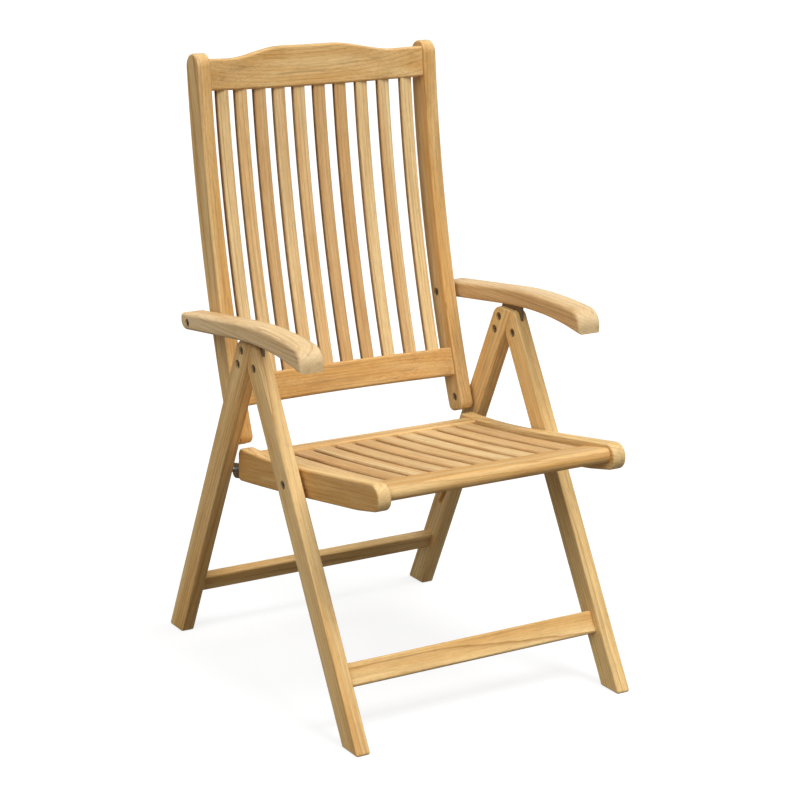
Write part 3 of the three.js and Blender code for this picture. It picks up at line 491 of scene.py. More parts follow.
# Rear stretcher: a flat teak board between the rear legs, its long edges rounded.
# It stands with the legs' own lean. Its tenons are hidden in the legs, so it is drawn without them.
stretcher_thickness = 18 * mm
stretcher_edge = 4 * mm
stretcher_heart = (90 * mm, 25 * mm)
rear_stretcher_height = 101.6 * mm
rear_stretcher_width = 35.5 * mm
arris = 0.4 * mm


def cross_piece(name, node, outline, reach, body, angle, tone, heart):
    """A board that runs across the chair, with one section all the way."""
    mesh = smoothed(board(name, outline, -reach, reach, arris), frame_teak)
    sawn(mesh, (0, 0, 0), (1, 0, 0), (0, *along(angle, 1)), heart, tone)
    fitted(name, mesh, body, "teak_frame", node)


def stretcher(name, node, axis, angle, height, width, body, tone):
    outline = section(Vector((axis(height), height)), width, stretcher_thickness, angle, stretcher_edge)
    cross_piece(name, node, outline, leg_inner - joint_gap, body, angle, tone, stretcher_heart)


stretcher("teak_rear_stretcher", "rear_stretcher", rear_axis, quarter + rear_lean,
          rear_stretcher_height, rear_stretcher_width, "rear_legs", 0.0)

# Apex plates: steel sheet 5 mm thick, cut to a lobed outline and let into the top of each rear leg.
# The front leg turns on its lower front lobe, and its top edge is the catch for the arm.
# The steel is dull and browned, and has darkened unevenly.
dark_steel, tree = new_material("browned_steel")
place = add(tree, "ShaderNodeTexCoord").outputs["Object"]
blotch_size = 2.5 * mm
blotches = add(tree, "ShaderNodeTexNoise", {"Vector": place, "Scale": 1 / blotch_size, "Detail": 4})
mottled = add(tree, "ShaderNodeMix", {0: blotches, 6: linear("#9a8a6e"), 7: linear("#57493a")},
              data_type="RGBA")
dullness = add(tree, "ShaderNodeMapRange", {
    "Value": blotches, "From Min": 0.3, "From Max": 0.7, "To Min": 0.38, "To Max": 0.6})
bump = add(tree, "ShaderNodeBump", {"Height": blotches, "Strength": 0.3, "Distance": 0.1 * mm})
surface = add(tree, "ShaderNodeBsdfPrincipled", {
    "Base Color": mottled.outputs[2], "Roughness": dullness, "Metallic": 0.85, "Normal": bump})
add(tree, "ShaderNodeOutputMaterial", {"Surface": surface})


def steel_pair(name, mesh, body, slot, material):
    for side, half in (("right", mesh), ("left", mirrored(mesh))):
        fitted(f"steel_{name}_{side}", smoothed(half, material), body, slot, f"{name}_{side}")


apex_plate = carved(
    board("apex_plate", hull(plate_circles), leg_middle - plate_thickness / 2,
          leg_middle + plate_thickness / 2, arris),
    bore(apex, leg_inner, leg_outer), *[bore(centre, leg_inner, leg_outer) for centre in plate_bolts])
steel_pair("apex_plate", apex_plate, "rear_legs", "dark_steel", dark_steel)

# Plate bolts: two through each rear leg and its plate, with low domed heads at both ends.
# The heads are sunk a little below the wood and have a socket for a hexagon key.
head_dome = 1.1 * mm
socket_radius = 2.9 * mm
socket_depth = 2.3 * mm
socket_chamfer = 0.25 * mm
head_rounding = 1.3 * mm
bolt_sides = 36


def hexagon_radius(angle):
    """Distance from the middle of a hexagon to its edge."""
    return socket_radius * math.cos(math.pi / 6) / math.cos((angle % (math.pi / 3)) - math.pi / 6)


def head_rings():
    """Rings of a bolt head from the bottom of its socket out, as (depth below its top, radius)."""
    rings = [(socket_depth, hexagon_radius), (socket_chamfer, hexagon_radius),
             (0, lambda angle: hexagon_radius(angle) + socket_chamfer)]
    for turn in spread(0, quarter, 4):
        rings.append((head_dome * (1 - math.cos(turn)), bolt_head - head_rounding * (1 - math.sin(turn))))
    return [*rings, (bolt_head_height, bolt_head), (bolt_head_height, bolt_radius)]


def bolt(length):
    """A bolt along x with its middle at the origin."""
    near = [(-length / 2 + depth, radius) for depth, radius in head_rings()]
    far = [(length / 2 - depth, radius) for depth, radius in reversed(head_rings())]
    return turned("bolt", near + far, sides=bolt_sides)


def geometry_tree(name, inputs):
    """A geometry tree with named inputs of given kinds, and one output."""
    tree = bpy.data.node_groups.new(name, "GeometryNodeTree")
    for socket, kind in inputs.items():
        tree.interface.new_socket(socket, in_out="INPUT", socket_type=f"NodeSocket{kind}")
    tree.interface.new_socket("Result", in_out="OUTPUT", socket_type="NodeSocketGeometry")
    return tree, add(tree, "NodeGroupInput").outputs


# Copies of one turned piece on points, each spun about its own axis and facing its own side.
copies, given = geometry_tree("turned_pieces_on_points", {
    "Points": "Geometry", "Piece": "Object", "Spin seed": "Int", "Steel": "Material"})
piece_info = add(copies, "GeometryNodeObjectInfo", {"Object": given["Piece"]}, transform_space="ORIGINAL")
facing = add(copies, "GeometryNodeInputNamedAttribute", {"Name": "turned_round"}, data_type="FLOAT")
spin = add(copies, "FunctionNodeRandomValue", {
    "Min": (0, 0, 0), "Max": (1, 0, 0), "Seed": given["Spin seed"]}, data_type="FLOAT_VECTOR")
spin_and_side = add(copies, "ShaderNodeCombineXYZ", {
    "X": add(copies, "ShaderNodeSeparateXYZ", {0: spin}), "Z": facing})
on_points = add(copies, "GeometryNodeInstanceOnPoints", {
    "Points": given["Points"], "Instance": piece_info.outputs["Geometry"], "Rotation": spin_and_side})
realized = add(copies, "GeometryNodeRealizeInstances", {"Geometry": on_points})
coated = add(copies, "GeometryNodeSetMaterial", {"Geometry": realized, "Material": given["Steel"]})
add(copies, "NodeGroupOutput", {"Result": coated})


def grown(name, base, tree, values):
    """The plain mesh that a geometry tree makes from a base mesh."""
    source = linked(name, base)
    modifier = source.modifiers.new("grow", "NODES")
    modifier.node_group = tree
    sockets = {item.name: item.identifier for item in tree.interface.items_tree if item.in_out == "INPUT"}
    for socket, value in values.items():
        modifier[sockets[socket]] = value
    return baked(source)


def on_both_sides(name, piece_mesh, places, body, nodes, x, sides=(1, -1)):
    """Copies of a turned steel piece at places on both sides of the chair, on one body."""
    points = bpy.data.meshes.new(name)
    points.from_pydata([(side * x, *place) for place in places for side in sides], [], [])
    stored(points, "turned_round", [0.0 if side > 0 else math.pi for _ in places for side in sides])
    model = linked("model", smoothed(piece_mesh, dark_steel))
    mesh = grown(name, points, copies, {"Piece": model, "Spin seed": 3, "Steel": dark_steel})
    bpy.data.objects.remove(model)
    fitted(name, mesh, body, "dark_steel", *nodes)


def pair(*names):
    return [f"{name}_{side}" for name in names for side in ("left", "right")]


leg_bolt_length = leg_outer - leg_inner - 2 * bolt_recess
on_both_sides("plate_bolts", bolt(leg_bolt_length), plate_bolts, "rear_legs",
              pair("upper_plate_bolt", "lower_plate_bolt"), leg_middle)

# Front legs: teak boards like the rear ones, leaning the other way.
# The top is rounded about the apex bolt where it turns against the rear leg, and slotted as wide as
# the plate sweeps through it.
rail_inner, rail_outer = (corner.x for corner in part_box("seat_rail_right"))
front_lean = math.radians(29.9)
front_shoulder = 12 * mm


def front_axis(height):
    return apex.x + math.tan(front_lean) * (height - apex.y)


facet_foot = apex + along(rear_lean, leg_width / 2)
facet_top = facet_foot + along(quarter + rear_lean, (leg_top - facet_foot.y) / math.cos(rear_lean))
front_outline = rounded([
    *[leg_corner(front_axis, front_lean, 0, side, foot_radius) for side in (-1, 1)],
    *sharp(arc(apex, leg_width / 2, -front_lean, rear_lean)), (facet_top, 0),
    leg_corner(front_axis, front_lean, leg_top, -1, front_shoulder),
])
swept = [(rotated(centre, apex, -turn), radius) for turn in spread(0, fold_turn, 8)
         for centre, radius in plate_circles]
front_leg = carved(
    board("front_leg", front_outline, leg_inner, leg_outer, leg_edge),
    board("slot", hull(swept, bore_gap), leg_middle - slot_half, leg_middle + slot_half),
    bore(apex, leg_inner, leg_outer), bore(seat_pivot, rail_inner, leg_outer),
)
front_lengthwise = Vector((0, math.sin(front_lean), math.cos(front_lean)))
wooden_pair("front_leg", front_leg, "front_legs", front_lengthwise, left=0.1, right=-0.8)
on_both_sides("apex_bolts", bolt(leg_bolt_length), [apex], "front_legs",
              pair("apex_pivot_bolt"), leg_middle)

# Front stretcher: a wider flat teak board between the front legs, near the floor.
# It is rounded and tenoned like the rear one and stands with the lean of the front legs.
front_stretcher_height = 107.8 * mm
front_stretcher_width = 40 * mm
stretcher("teak_front_stretcher", "front_stretcher", front_axis, quarter - front_lean,
          front_stretcher_height, front_stretcher_width, "front_legs", -0.1)

# Seat rails: teak boards on edge, straight in front and dished to the rear, with a full round nose.
# Each turns on a bolt through the front leg, and carries the cross rails in mortises.
half_depth = 353 * mm
seat_slope = math.radians(9.2)
seat_dish = 1500 * mm
seat_underside = 6500 * mm
seat_rail_depth = 49.5 * mm
seat_nose = 22 * mm
seat_nose_lift = 4.5 * mm
chin_run = 75 * mm
chin_radius = 300 * mm
seat_heel_radius = 8 * mm
seat_heel_top_radius = 14 * mm
seat_edge = 4 * mm
seat_bend = seat_pivot + Vector((13.3, 22)) * mm
seat_lower_bend = seat_bend + along(-quarter - seat_slope, seat_rail_depth)
seat_rear = back_pivot.x - 15 * mm


def seat_line(bend, radius):
    """Height along the seat: straight to the front of the bend, a wide arc to its rear."""
    centre = bend + along(quarter - seat_slope, radius)

    def height(y):
        if y <= bend.x:
            return bend.y + math.tan(seat_slope) * (bend.x - y)
        return centre.y - math.sqrt(radius ** 2 - (y - centre.x) ** 2)
    return height


seat_top = seat_line(seat_bend, seat_dish)
seat_bottom = seat_line(seat_lower_bend, seat_underside)


def sampled(line, first, last, steps=10):
    return [Vector((y, line(y))) for y in spread(first, last, steps)]


nose_rounding = seat_nose * (1 - math.sin(seat_slope))
nose_run = seat_nose + (seat_lower_bend.x + half_depth - nose_rounding) / math.cos(seat_slope)
nose_end = seat_lower_bend + along(math.pi - seat_slope, nose_run)
nose_top = nose_end + along(quarter - seat_slope, seat_rail_depth)
nose_bottom = nose_end + along(quarter - seat_slope, seat_nose_lift)
chin = nose_end - along(math.pi - seat_slope, chin_run)
bracket_inner = rail_outer - 8 * mm
bracket_outer = rail_outer - 5 * mm
bracket_lobe = 11 * mm
bracket_front_lobe = 10 * mm
bracket_front = guide_pin + Vector((-36, 0)) * mm
bracket_circles = [
    (guide_pin, bracket_lobe), (guide_pin + Vector((0, -6)) * mm, bracket_lobe),
    (bracket_front, bracket_front_lobe), (bracket_front + Vector((0, 8)) * mm, bracket_front_lobe)]
seat_rail = carved(
    board("seat_rail", rounded([
        (nose_top, seat_nose), (nose_bottom, seat_nose), (chin, chin_radius),
        *sharp(sampled(seat_bottom, seat_lower_bend.x, seat_rear)[:-1]),
        (Vector((seat_rear, seat_bottom(seat_rear))), seat_heel_radius),
        (Vector((seat_rear, seat_top(seat_rear))), seat_heel_top_radius),
        *sharp(sampled(seat_top, seat_rear, seat_bend.x)[1:]),
    ]), rail_inner, rail_outer, seat_edge),
    bore(seat_pivot, rail_inner, leg_outer),
    board("kerf", hull(bracket_circles, bore_gap), bracket_inner - bore_gap, bracket_outer + bore_gap),
)
seat_lengthwise = Vector((0, -math.cos(seat_slope), math.sin(seat_slope)))
# Painted shade: sides=1.2 darkens the rails' inner and outer faces, where shade falls under the arms and behind
# the legs.
wooden_pair("seat_rail", seat_rail, "seat", seat_lengthwise, left=0.0, right=-1.0, sides=1.2)

# Seat bolts and their washers: one bolt on each side through the front leg and the seat rail.
# A thick washer of the same browned steel keeps the two boards apart where they turn.
washer_radius = 10 * mm
seat_bolt_length = leg_outer - rail_inner - 2 * bolt_recess
on_both_sides("seat_bolts", bolt(seat_bolt_length), [seat_pivot], "seat", pair("seat_pivot_bolt"),
              (rail_inner + leg_outer) / 2)


def washer(width):
    """A washer along x with its middle at the origin, its rims a little rounded."""
    half = [(width / 2 - arris, washer_radius), (width / 2, washer_radius - arris),
            (width / 2, bolt_radius + bore_gap)]
    return turned("washer", [(-x, r) for x, r in reversed(half)] + half, sides=bolt_sides, hollow=True)


on_both_sides("seat_washers", washer(leg_inner - rail_outer - 2 * joint_gap), [seat_pivot], "seat",
              pair("seat_spacer"), (leg_inner + rail_outer) / 2)

# Seat front rail: a wide teak board with a full round front edge, tilted to the front.
# It is let into the seat rails below their top edges.
front_rail_tilt = math.radians(11.8)
front_rail_width = 77 * mm
front_rail_thickness = 26 * mm
front_rail_edge = 3 * mm
front_rail_drop = 9.7 * mm
front_rail_start = 88.5 * mm - half_depth
front_rail_centre = (Vector((front_rail_start, seat_top(front_rail_start) - front_rail_drop))
                     + along(math.pi - front_rail_tilt, front_rail_width / 2)
                     + along(-quarter - front_rail_tilt, front_rail_thickness / 2))


def front_rail_outline():
    forward = along(-front_rail_tilt, front_rail_width / 2)
    up = along(quarter - front_rail_tilt, front_rail_thickness / 2)
    nose = front_rail_thickness / 2 - joint_gap
    return rounded([(front_rail_centre + forward * a + up * b, radius) for a, b, radius in (
        (-1, -1, nose), (1, -1, front_rail_edge), (1, 1, front_rail_edge), (-1, 1, nose))])


cross_reach = rail_inner - joint_gap
cross_piece("teak_seat_front_rail", "seat_front_rail", front_rail_outline(), cross_reach, "seat",
            -front_rail_tilt, 0.4, (60 * mm, 45 * mm))

# Seat rear rail: a smaller board across the rear end of the seat, its rear edge a little lower than
# the dish.
rear_rail_width = 42 * mm
rear_rail_thickness = 22 * mm
rear_rail_edge = 5 * mm
rear_rail_drop = 3 * mm
rear_rail_dip = math.radians(5)
rear_rail_front = seat_rear - 58 * mm
rear_rail_rise = seat_top(rear_rail_front + rear_rail_width) - seat_top(rear_rail_front)
rear_rail_slope = math.atan(rear_rail_rise / rear_rail_width) - rear_rail_dip
rear_rail_centre = (Vector((rear_rail_front, seat_top(rear_rail_front)))
                    + along(rear_rail_slope, rear_rail_width / 2)
                    + along(rear_rail_slope - quarter, rear_rail_drop + rear_rail_thickness / 2))
cross_piece("teak_seat_rear_rail", "seat_rear_rail",
            section(rear_rail_centre, rear_rail_width, rear_rail_thickness, rear_rail_slope, rear_rail_edge),
            cross_reach, "seat", rear_rail_slope, 0.3, (50 * mm, 60 * mm))

# Seat slats: ten light teak slats from rear rail to front rail, nearly straight.
# Each comes from another board, so tone and grain differ. Their sides are painted browner than their tops: painted
# shade in the gaps.
slat_teak = teak("sanded_slat_teak", "#f4daa4", "#e0b579", "#a6743c", "#8a6035", drift=9 * mm)

slats, given = geometry_tree("row_of_slats", {
    "Path": "Geometry", "Section": "Object", "Count": "Int", "Pitch": "Float", "Bow radius": "Float",
    "Bow at ends": "Float", "Bow direction": "Vector", "Seed": "Int", "Teak": "Material"})
way, across, through, side, own_tone = (
    add(slats, "GeometryNodeInputNamedAttribute", {"Name": name}, data_type="FLOAT")
    for name in ("way", "across", "through", "side", "own_tone"))
local, shift = (add(slats, "GeometryNodeInputNamedAttribute", {"Name": name}, data_type="FLOAT_VECTOR")
                for name in ("grain", "board"))

# One slat: the section drawn along the path, its grain running with the bend
path = add(slats, "GeometryNodeMeshToCurve", {"Mesh": given["Path"]})
upright = add(slats, "GeometryNodeSetCurveNormal", {"Curve": path}, mode="Z_UP")
end_shape = add(slats, "GeometryNodeObjectInfo", {"Object": given["Section"]}, transform_space="ORIGINAL")
end_curve = add(slats, "GeometryNodeMeshToCurve", {"Mesh": end_shape.outputs["Geometry"]})
slat_body = add(slats, "GeometryNodeCurveToMesh", {
    "Curve": upright, "Profile Curve": end_curve, "Fill Caps": True})
in_board = add(slats, "ShaderNodeCombineXYZ", {"X": way, "Y": across, "Z": through})
one_slat = add(slats, "GeometryNodeStoreNamedAttribute", {
    "Geometry": slat_body, "Name": "grain", "Value": in_board}, data_type="FLOAT_VECTOR")

# The row: points across the chair, bowed to a circle
gaps = add(slats, "ShaderNodeMath", {0: given["Count"], 1: 1}, operation="SUBTRACT")
half_pitch = add(slats, "ShaderNodeMath", {0: given["Pitch"], 1: -0.5}, operation="MULTIPLY")
row_start = add(slats, "ShaderNodeMath", {0: gaps, 1: half_pitch}, operation="MULTIPLY")
row = add(slats, "GeometryNodeMeshLine", {
    "Count": given["Count"], "Start Location": add(slats, "ShaderNodeCombineXYZ", {"X": row_start}),
    "Offset": add(slats, "ShaderNodeCombineXYZ", {"X": given["Pitch"]})})
row_x = add(slats, "ShaderNodeSeparateXYZ", {0: add(slats, "GeometryNodeInputPosition")})
radius_squared, x_squared = (add(slats, "ShaderNodeMath", {0: value, 1: value}, operation="MULTIPLY")
                             for value in (given["Bow radius"], row_x))
remainder = add(slats, "ShaderNodeMath", {0: radius_squared, 1: x_squared}, operation="SUBTRACT")
rise = add(slats, "ShaderNodeMath", {0: remainder}, operation="SQRT")
bow = add(slats, "ShaderNodeMath", {0: rise, 1: given["Bow at ends"]}, operation="SUBTRACT")
bowed = add(slats, "ShaderNodeVectorMath", {0: given["Bow direction"], "Scale": bow}, operation="SCALE")
bowed_row = add(slats, "GeometryNodeSetPosition", {"Geometry": row, "Offset": bowed})
row = add(slats, "GeometryNodeInstanceOnPoints", {"Points": bowed_row, "Instance": one_slat})

# Each slat gets its own place in a log and its own tone, and its sides are painted darker as painted shade
board_of = add(slats, "FunctionNodeRandomValue", {
    "Min": (0, 0.05, 0.02), "Max": (12, 0.11, 0.06), "Seed": given["Seed"]}, data_type="FLOAT_VECTOR")
tone_of = add(slats, "FunctionNodeRandomValue", {2: -0.8, 3: 1.0, "Seed": given["Seed"]}, data_type="FLOAT")
for name, value, kind in (("board", board_of, "FLOAT_VECTOR"), ("own_tone", tone_of.outputs[1], "FLOAT")):
    row = add(slats, "GeometryNodeStoreNamedAttribute", {"Geometry": row, "Name": name, "Value": value},
              data_type=kind, domain="INSTANCE")
row = add(slats, "GeometryNodeRealizeInstances", {"Geometry": row})
in_log = add(slats, "ShaderNodeVectorMath", {0: local, 1: shift})
# Painted shade: the slat's sides are darkened by 1.3 on top of its own tone
tone = add(slats, "ShaderNodeMath", {0: side, 1: 1.3, 2: own_tone}, operation="MULTIPLY_ADD")
for name, value, kind in (("grain", in_log, "FLOAT_VECTOR"), ("tone", tone, "FLOAT")):
    row = add(slats, "GeometryNodeStoreNamedAttribute", {"Geometry": row, "Name": name, "Value": value},
              data_type=kind)
row = add(slats, "GeometryNodeSetMaterial", {"Geometry": row, "Material": given["Teak"]})
add(slats, "NodeGroupOutput", {"Result": row})


def slat_row(name, node, path_points, width, thickness, radius, row, body):
    """A row of slats along a path seen from the side. Each point of the path and of the slat's
    section keeps its place in the wood, so the grain runs with the bend."""
    base, end_mesh = bpy.data.meshes.new(name), bpy.data.meshes.new("section")
    links = [(i, i + 1) for i in range(len(path_points) - 1)]
    base.from_pydata([(0, *point) for point in path_points], links, [])
    steps = [0, *[(after - before).length for before, after in zip(path_points, path_points[1:])]]
    stored(base, "way", np.cumsum(steps))
    outline = section(Vector((0, 0)), width, thickness, 0, radius)
    end_mesh.from_pydata([(*point, 0) for point in outline], [(i - 1, i) for i in range(len(outline))], [])
    stored(end_mesh, "across", [point.x for point in outline])
    stored(end_mesh, "through", [point.y for point in outline])
    beyond = [(abs(point.x) - width / 2 + radius, abs(point.y) - thickness / 2 + radius) for point in outline]
    stored(end_mesh, "edge", [max(x, 0) * max(y, 0) / radius ** 2 for x, y in beyond])
    # Where the section turns to the slat's sides, marked for painted shade there
    stored(end_mesh, "side", [max(x, 0) / radius for x, y in beyond])
    end = linked("section", end_mesh)
    mesh = grown(name, base, slats, {"Section": end, "Count": slat_count, "Teak": slat_teak, **row})
    bpy.data.objects.remove(end)
    fitted(name, smoothed(faced_outwards(mesh), slat_teak), body, "teak_slats",
           *[f"{node}_{i + 1}" for i in range(slat_count)])


slat_count = 10
slat_tenon = 3 * mm
seat_slat_width = 34 * mm
seat_slat_thickness = 14 * mm
seat_slat_edge = 4.5 * mm
seat_slat_pitch = 43 * mm
seat_slat_sag = 2 * mm
seat_slat_drop_front = 10.5 * mm
seat_slat_drop_rear = 6.5 * mm
slat_front_face = front_rail_centre + along(-front_rail_tilt, front_rail_width / 2 + joint_gap)
slat_rear_face = rear_rail_centre - along(rear_rail_slope, rear_rail_width / 2 + joint_gap)


def slat_line(y):
    """The middle of a slat that sags a little, with its face below the line of the seat rails."""
    share = (y - slat_front_face.x) / (slat_rear_face.x - slat_front_face.x)
    front_top = seat_top(slat_front_face.x) - seat_slat_drop_front
    rear_top = seat_top(slat_rear_face.x) - seat_slat_drop_rear
    face = front_top * (1 - share) + rear_top * share - 4 * seat_slat_sag * share * (1 - share)
    return face - seat_slat_thickness / 2 / math.cos(seat_slope)


slat_row("seat_slats", "seat_slat",
         sampled(slat_line, slat_front_face.x - slat_tenon, slat_rear_face.x + slat_tenon, 24),
         seat_slat_width, seat_slat_thickness, seat_slat_edge,
         {"Pitch": seat_slat_pitch, "Bow radius": 1.0, "Bow direction": (0, 0, 0), "Seed": 5}, "seat")

# Seat brackets: a plate of stainless steel let into the rear end of each seat rail, with a thick pin.
# The pin slides in the groove of the rear leg. The plate is cut from sheet and brushed lengthways,
# which draws out its highlights.
bright_steel, tree = new_material("brushed_stainless_steel")
place = add(tree, "ShaderNodeTexCoord").outputs["Object"]

# Scratches are drawn coarser than real ones, which would not show
scratch_length = 3.333 * mm
scratch_width = 0.25 * mm
stretched = add(tree, "ShaderNodeMapping", {
    "Vector": place, "Scale": [1 / size for size in (scratch_width, scratch_length, scratch_width)]})
scratches = add(tree, "ShaderNodeTexNoise", {"Vector": stretched, "Scale": 1, "Detail": 2})
dullness = add(tree, "ShaderNodeMapRange", {"Value": scratches, "To Min": 0.22, "To Max": 0.42})
bump = add(tree, "ShaderNodeBump", {"Height": scratches, "Strength": 0.2, "Distance": 0.02 * mm})
surface = add(tree, "ShaderNodeBsdfPrincipled", {
    "Base Color": linear("#b9b8b4"), "Metallic": 1, "Roughness": dullness, "Normal": bump})
add(tree, "ShaderNodeOutputMaterial", {"Surface": surface})

pin_end = leg_inner + guide_groove_depth - 1 * mm
bracket = carved(
    board("bracket", hull(bracket_circles), bracket_inner, bracket_outer, arris),
    turned("pin", [(bracket_inner + 1 * mm, guide_pin_radius), (pin_end - arris, guide_pin_radius),
                   (pin_end, guide_pin_radius - arris)], guide_pin), operation="UNION")
steel_pair("seat_bracket", bracket, "seat", "stainless_steel", bright_steel)

# Back pivot bolts: a sunk head inside each stile, a collar between stile and leg, a plain end in the leg.
# Each is turned in one piece from the browned steel, and the back hangs from them.
collar_radius = 9 * mm
back_bolt_start = rail_inner + bolt_recess
back_bolt_middle = (back_bolt_start + back_bolt_end) / 2
back_bolt_head = [(back_bolt_start + depth, radius) for depth, radius in head_rings()]
back_bolt_shank = [(rail_outer + joint_gap, bolt_radius), (rail_outer + joint_gap, collar_radius),
                   (leg_inner - joint_gap, collar_radius), (leg_inner - joint_gap, bolt_radius),
                   (back_bolt_end, bolt_radius)]
back_bolt_profile = [(x - back_bolt_middle, radius) for x, radius in back_bolt_head + back_bolt_shank]
on_both_sides("back_pivot_bolts", turned("back_bolt", back_bolt_profile, sides=bolt_sides), [back_pivot],
              "back_pivots", pair("back_pivot_bolt"), back_bolt_middle)

# Back stiles: long teak boards sawn to a wide curve, with round tops and rounded edges.
# They turn on the pivot bolts between the rear legs.
back_lean = math.radians(20.5)
back_radius = 2500 * mm
stile_depth = 48 * mm
stile_shift = 2.5 * mm
stile_ahead = stile_shift - stile_depth / 2
stile_behind = stile_shift + stile_depth / 2
stile_edge = 4 * mm
stile_length = 644.5 * mm
stile_tail = 25 * mm
stile_tail_radius = 13.5 * mm


def lean_at(way):
    return back_lean - way / back_radius


def back_point(way, offset=0.0):
    """A point on the curved stile, by its way from the pivot and its offset to the rear."""
    lean = lean_at(way)
    return back_pivot + Vector((
        back_radius * (math.cos(lean) - math.cos(back_lean)) + offset * math.cos(lean),
        back_radius * (math.sin(back_lean) - math.sin(lean)) - offset * math.sin(lean)))


arm_pivot = joint_at["arm_fold_right"]
arm_inner, arm_outer = (corner.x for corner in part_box("arm_right"))
stile_ways = spread(-stile_tail, stile_length, 30)
crown_lean = lean_at(stile_length)
stile_outline = rounded([
    (back_point(-stile_tail, stile_ahead), stile_tail_radius),
    (back_point(-stile_tail, stile_behind), stile_tail_radius),
    *sharp([back_point(way, stile_behind) for way in stile_ways[1:-1]]),
    *sharp(arc(back_point(stile_length, stile_shift), stile_depth / 2, -crown_lean, math.pi - crown_lean)),
    *sharp([back_point(way, stile_ahead) for way in stile_ways[-2:0:-1]]),
])
recess_end = back_bolt_start + bolt_head_height + joint_gap
head_room = [(rail_inner - overrun, bolt_head + recess_room), (recess_end, bolt_head + recess_room),
             (recess_end, bolt_radius + bore_gap), (back_bolt_end, bolt_radius + bore_gap)]
stile = carved(board("back_stile", stile_outline, rail_inner, rail_outer, stile_edge),
               turned("bore", head_room, back_pivot), bore(arm_pivot, rail_inner, arm_outer))
stile_lengthwise = Vector((0, math.sin(lean_at(stile_length / 2)), math.cos(lean_at(stile_length / 2))))
wooden_pair("back_stile", stile, "back", stile_lengthwise, left=0.4, right=0.2)

# Back rails: two teak boards let into the stiles and bowed to the rear for the sitter's back.
# The lower one is even; the top one rises in its middle to a low crest.
panel_inset = 5.3 * mm
panel_bow = 37 * mm
chord_lean = math.radians(13.1)
bow_radius = (rail_inner ** 2 + panel_bow ** 2) / (2 * panel_bow)
back_rail_thickness = 20 * mm
back_rail_edge = 5 * mm
lower_rail_centre = 66.5 * mm
lower_rail_half = 26.5 * mm
top_rail_start = stile_length - 42.5 * mm
top_rail_height = 56 * mm
top_rail_crest = 19 * mm
crest_half = 49 * mm
step_half = 175 * mm


def bow_at(x):
    return math.sqrt(bow_radius ** 2 - x ** 2) - (bow_radius - panel_bow)


def bowed_rail(name, node, bottom, top, tone, heart):
    rings = []
    for x in spread(-cross_reach, cross_reach, 72):
        middle = (bottom + top(x)) / 2
        end = section(Vector((0, middle)), back_rail_thickness, top(x) - bottom, 0, back_rail_edge)
        bow = along(-chord_lean, bow_at(x))
        rings.append([(x, *(back_point(point.y, point.x - panel_inset) + bow)) for point in end])
    mesh = smoothed(loft(name, rings), frame_teak)
    lean = lean_at(bottom)
    sawn(mesh, (0, *back_point(bottom)), (1, 0, 0), (0, math.sin(lean), math.cos(lean)), heart, tone)
    fitted(name, mesh, "back", "teak_frame", node)


def crest_line(x):
    share = min(max((abs(x) - crest_half) / (step_half - crest_half), 0), 1)
    return top_rail_start + top_rail_height + top_rail_crest * (0.5 + 0.5 * math.cos(math.pi * share))


bowed_rail("teak_back_lower_rail", "back_lower_rail", lower_rail_centre - lower_rail_half,
           lambda x: lower_rail_centre + lower_rail_half, 0.6, (70 * mm, 30 * mm))
bowed_rail("teak_back_top_rail", "back_top_rail", top_rail_start, crest_line, 0.3, (-85 * mm, 35 * mm))

# Back slats: ten slender teak slats between the rails, curved with the stiles and bowed in plan.
# Each is let into both rails, and comes from another board, like the slats of the seat.
back_slat_width = 24 * mm
back_slat_thickness = 12 * mm
back_slat_edge = 3 * mm
back_slat_pitch = 42.2 * mm
back_slat_ways = spread(lower_rail_centre + lower_rail_half - slat_tenon, top_rail_start + slat_tenon, 24)
slat_row("back_slats", "back_slat", [back_point(way, -panel_inset) for way in back_slat_ways],
         back_slat_width, back_slat_thickness, back_slat_edge,
         {"Pitch": back_slat_pitch, "Bow radius": bow_radius, "Bow at ends": bow_radius - panel_bow,
          "Bow direction": (0, *along(-chord_lean, 1)), "Seed": 8}, "back")

# Arms: thick teak boards sawn to a bow, with a big soft nose that shows its end grain.
# Each turns on a bolt through the stile, and is channelled beneath for a toothed steel rack.
# Hands and weather have left them a little greyer than the rest.
arm_teak = teak("weathered_arm_teak", "#efd4a4", "#d9b27c", "#ab8351", "#8b6c49")
arm_front = apex.x - 203 * mm
arm_rear = arm_pivot.x + 27.8 * mm
arm_edge = 6.5 * mm
arm_rear_slope = math.radians(6.9)
arm_top_radius = 1100 * mm
arm_bottom_radius = 700 * mm
arm_rear_radius = 900 * mm
arm_heel_radius = 17 * mm
arm_heel_top_radius = 7 * mm
nose_share = 0.8
rounding_room = 1.4
arm_bottom_crest = Vector((apex.x - 69.4 * mm, leg_top + 12.5 * mm))
arm_top_crest = Vector((apex.x - 84.4 * mm, arm_bottom_crest.y + 32 * mm))
channel_half = 4.5 * mm
channel_depth = 12 * mm


def arm_line(crest, front_radius):
    """Height along the arm: an arc over a crest, running out straight to the rear."""
    straight = crest.x + arm_rear_radius * math.sin(arm_rear_slope)

    def fall(run, radius):
        return radius - math.sqrt(radius ** 2 - run ** 2)

    def height(y):
        if y < crest.x:
            return crest.y - fall(crest.x - y, front_radius)
        run_out = math.tan(arm_rear_slope) * max(0, y - straight)
        return crest.y - fall(min(y, straight) - crest.x, arm_rear_radius) - run_out
    return height


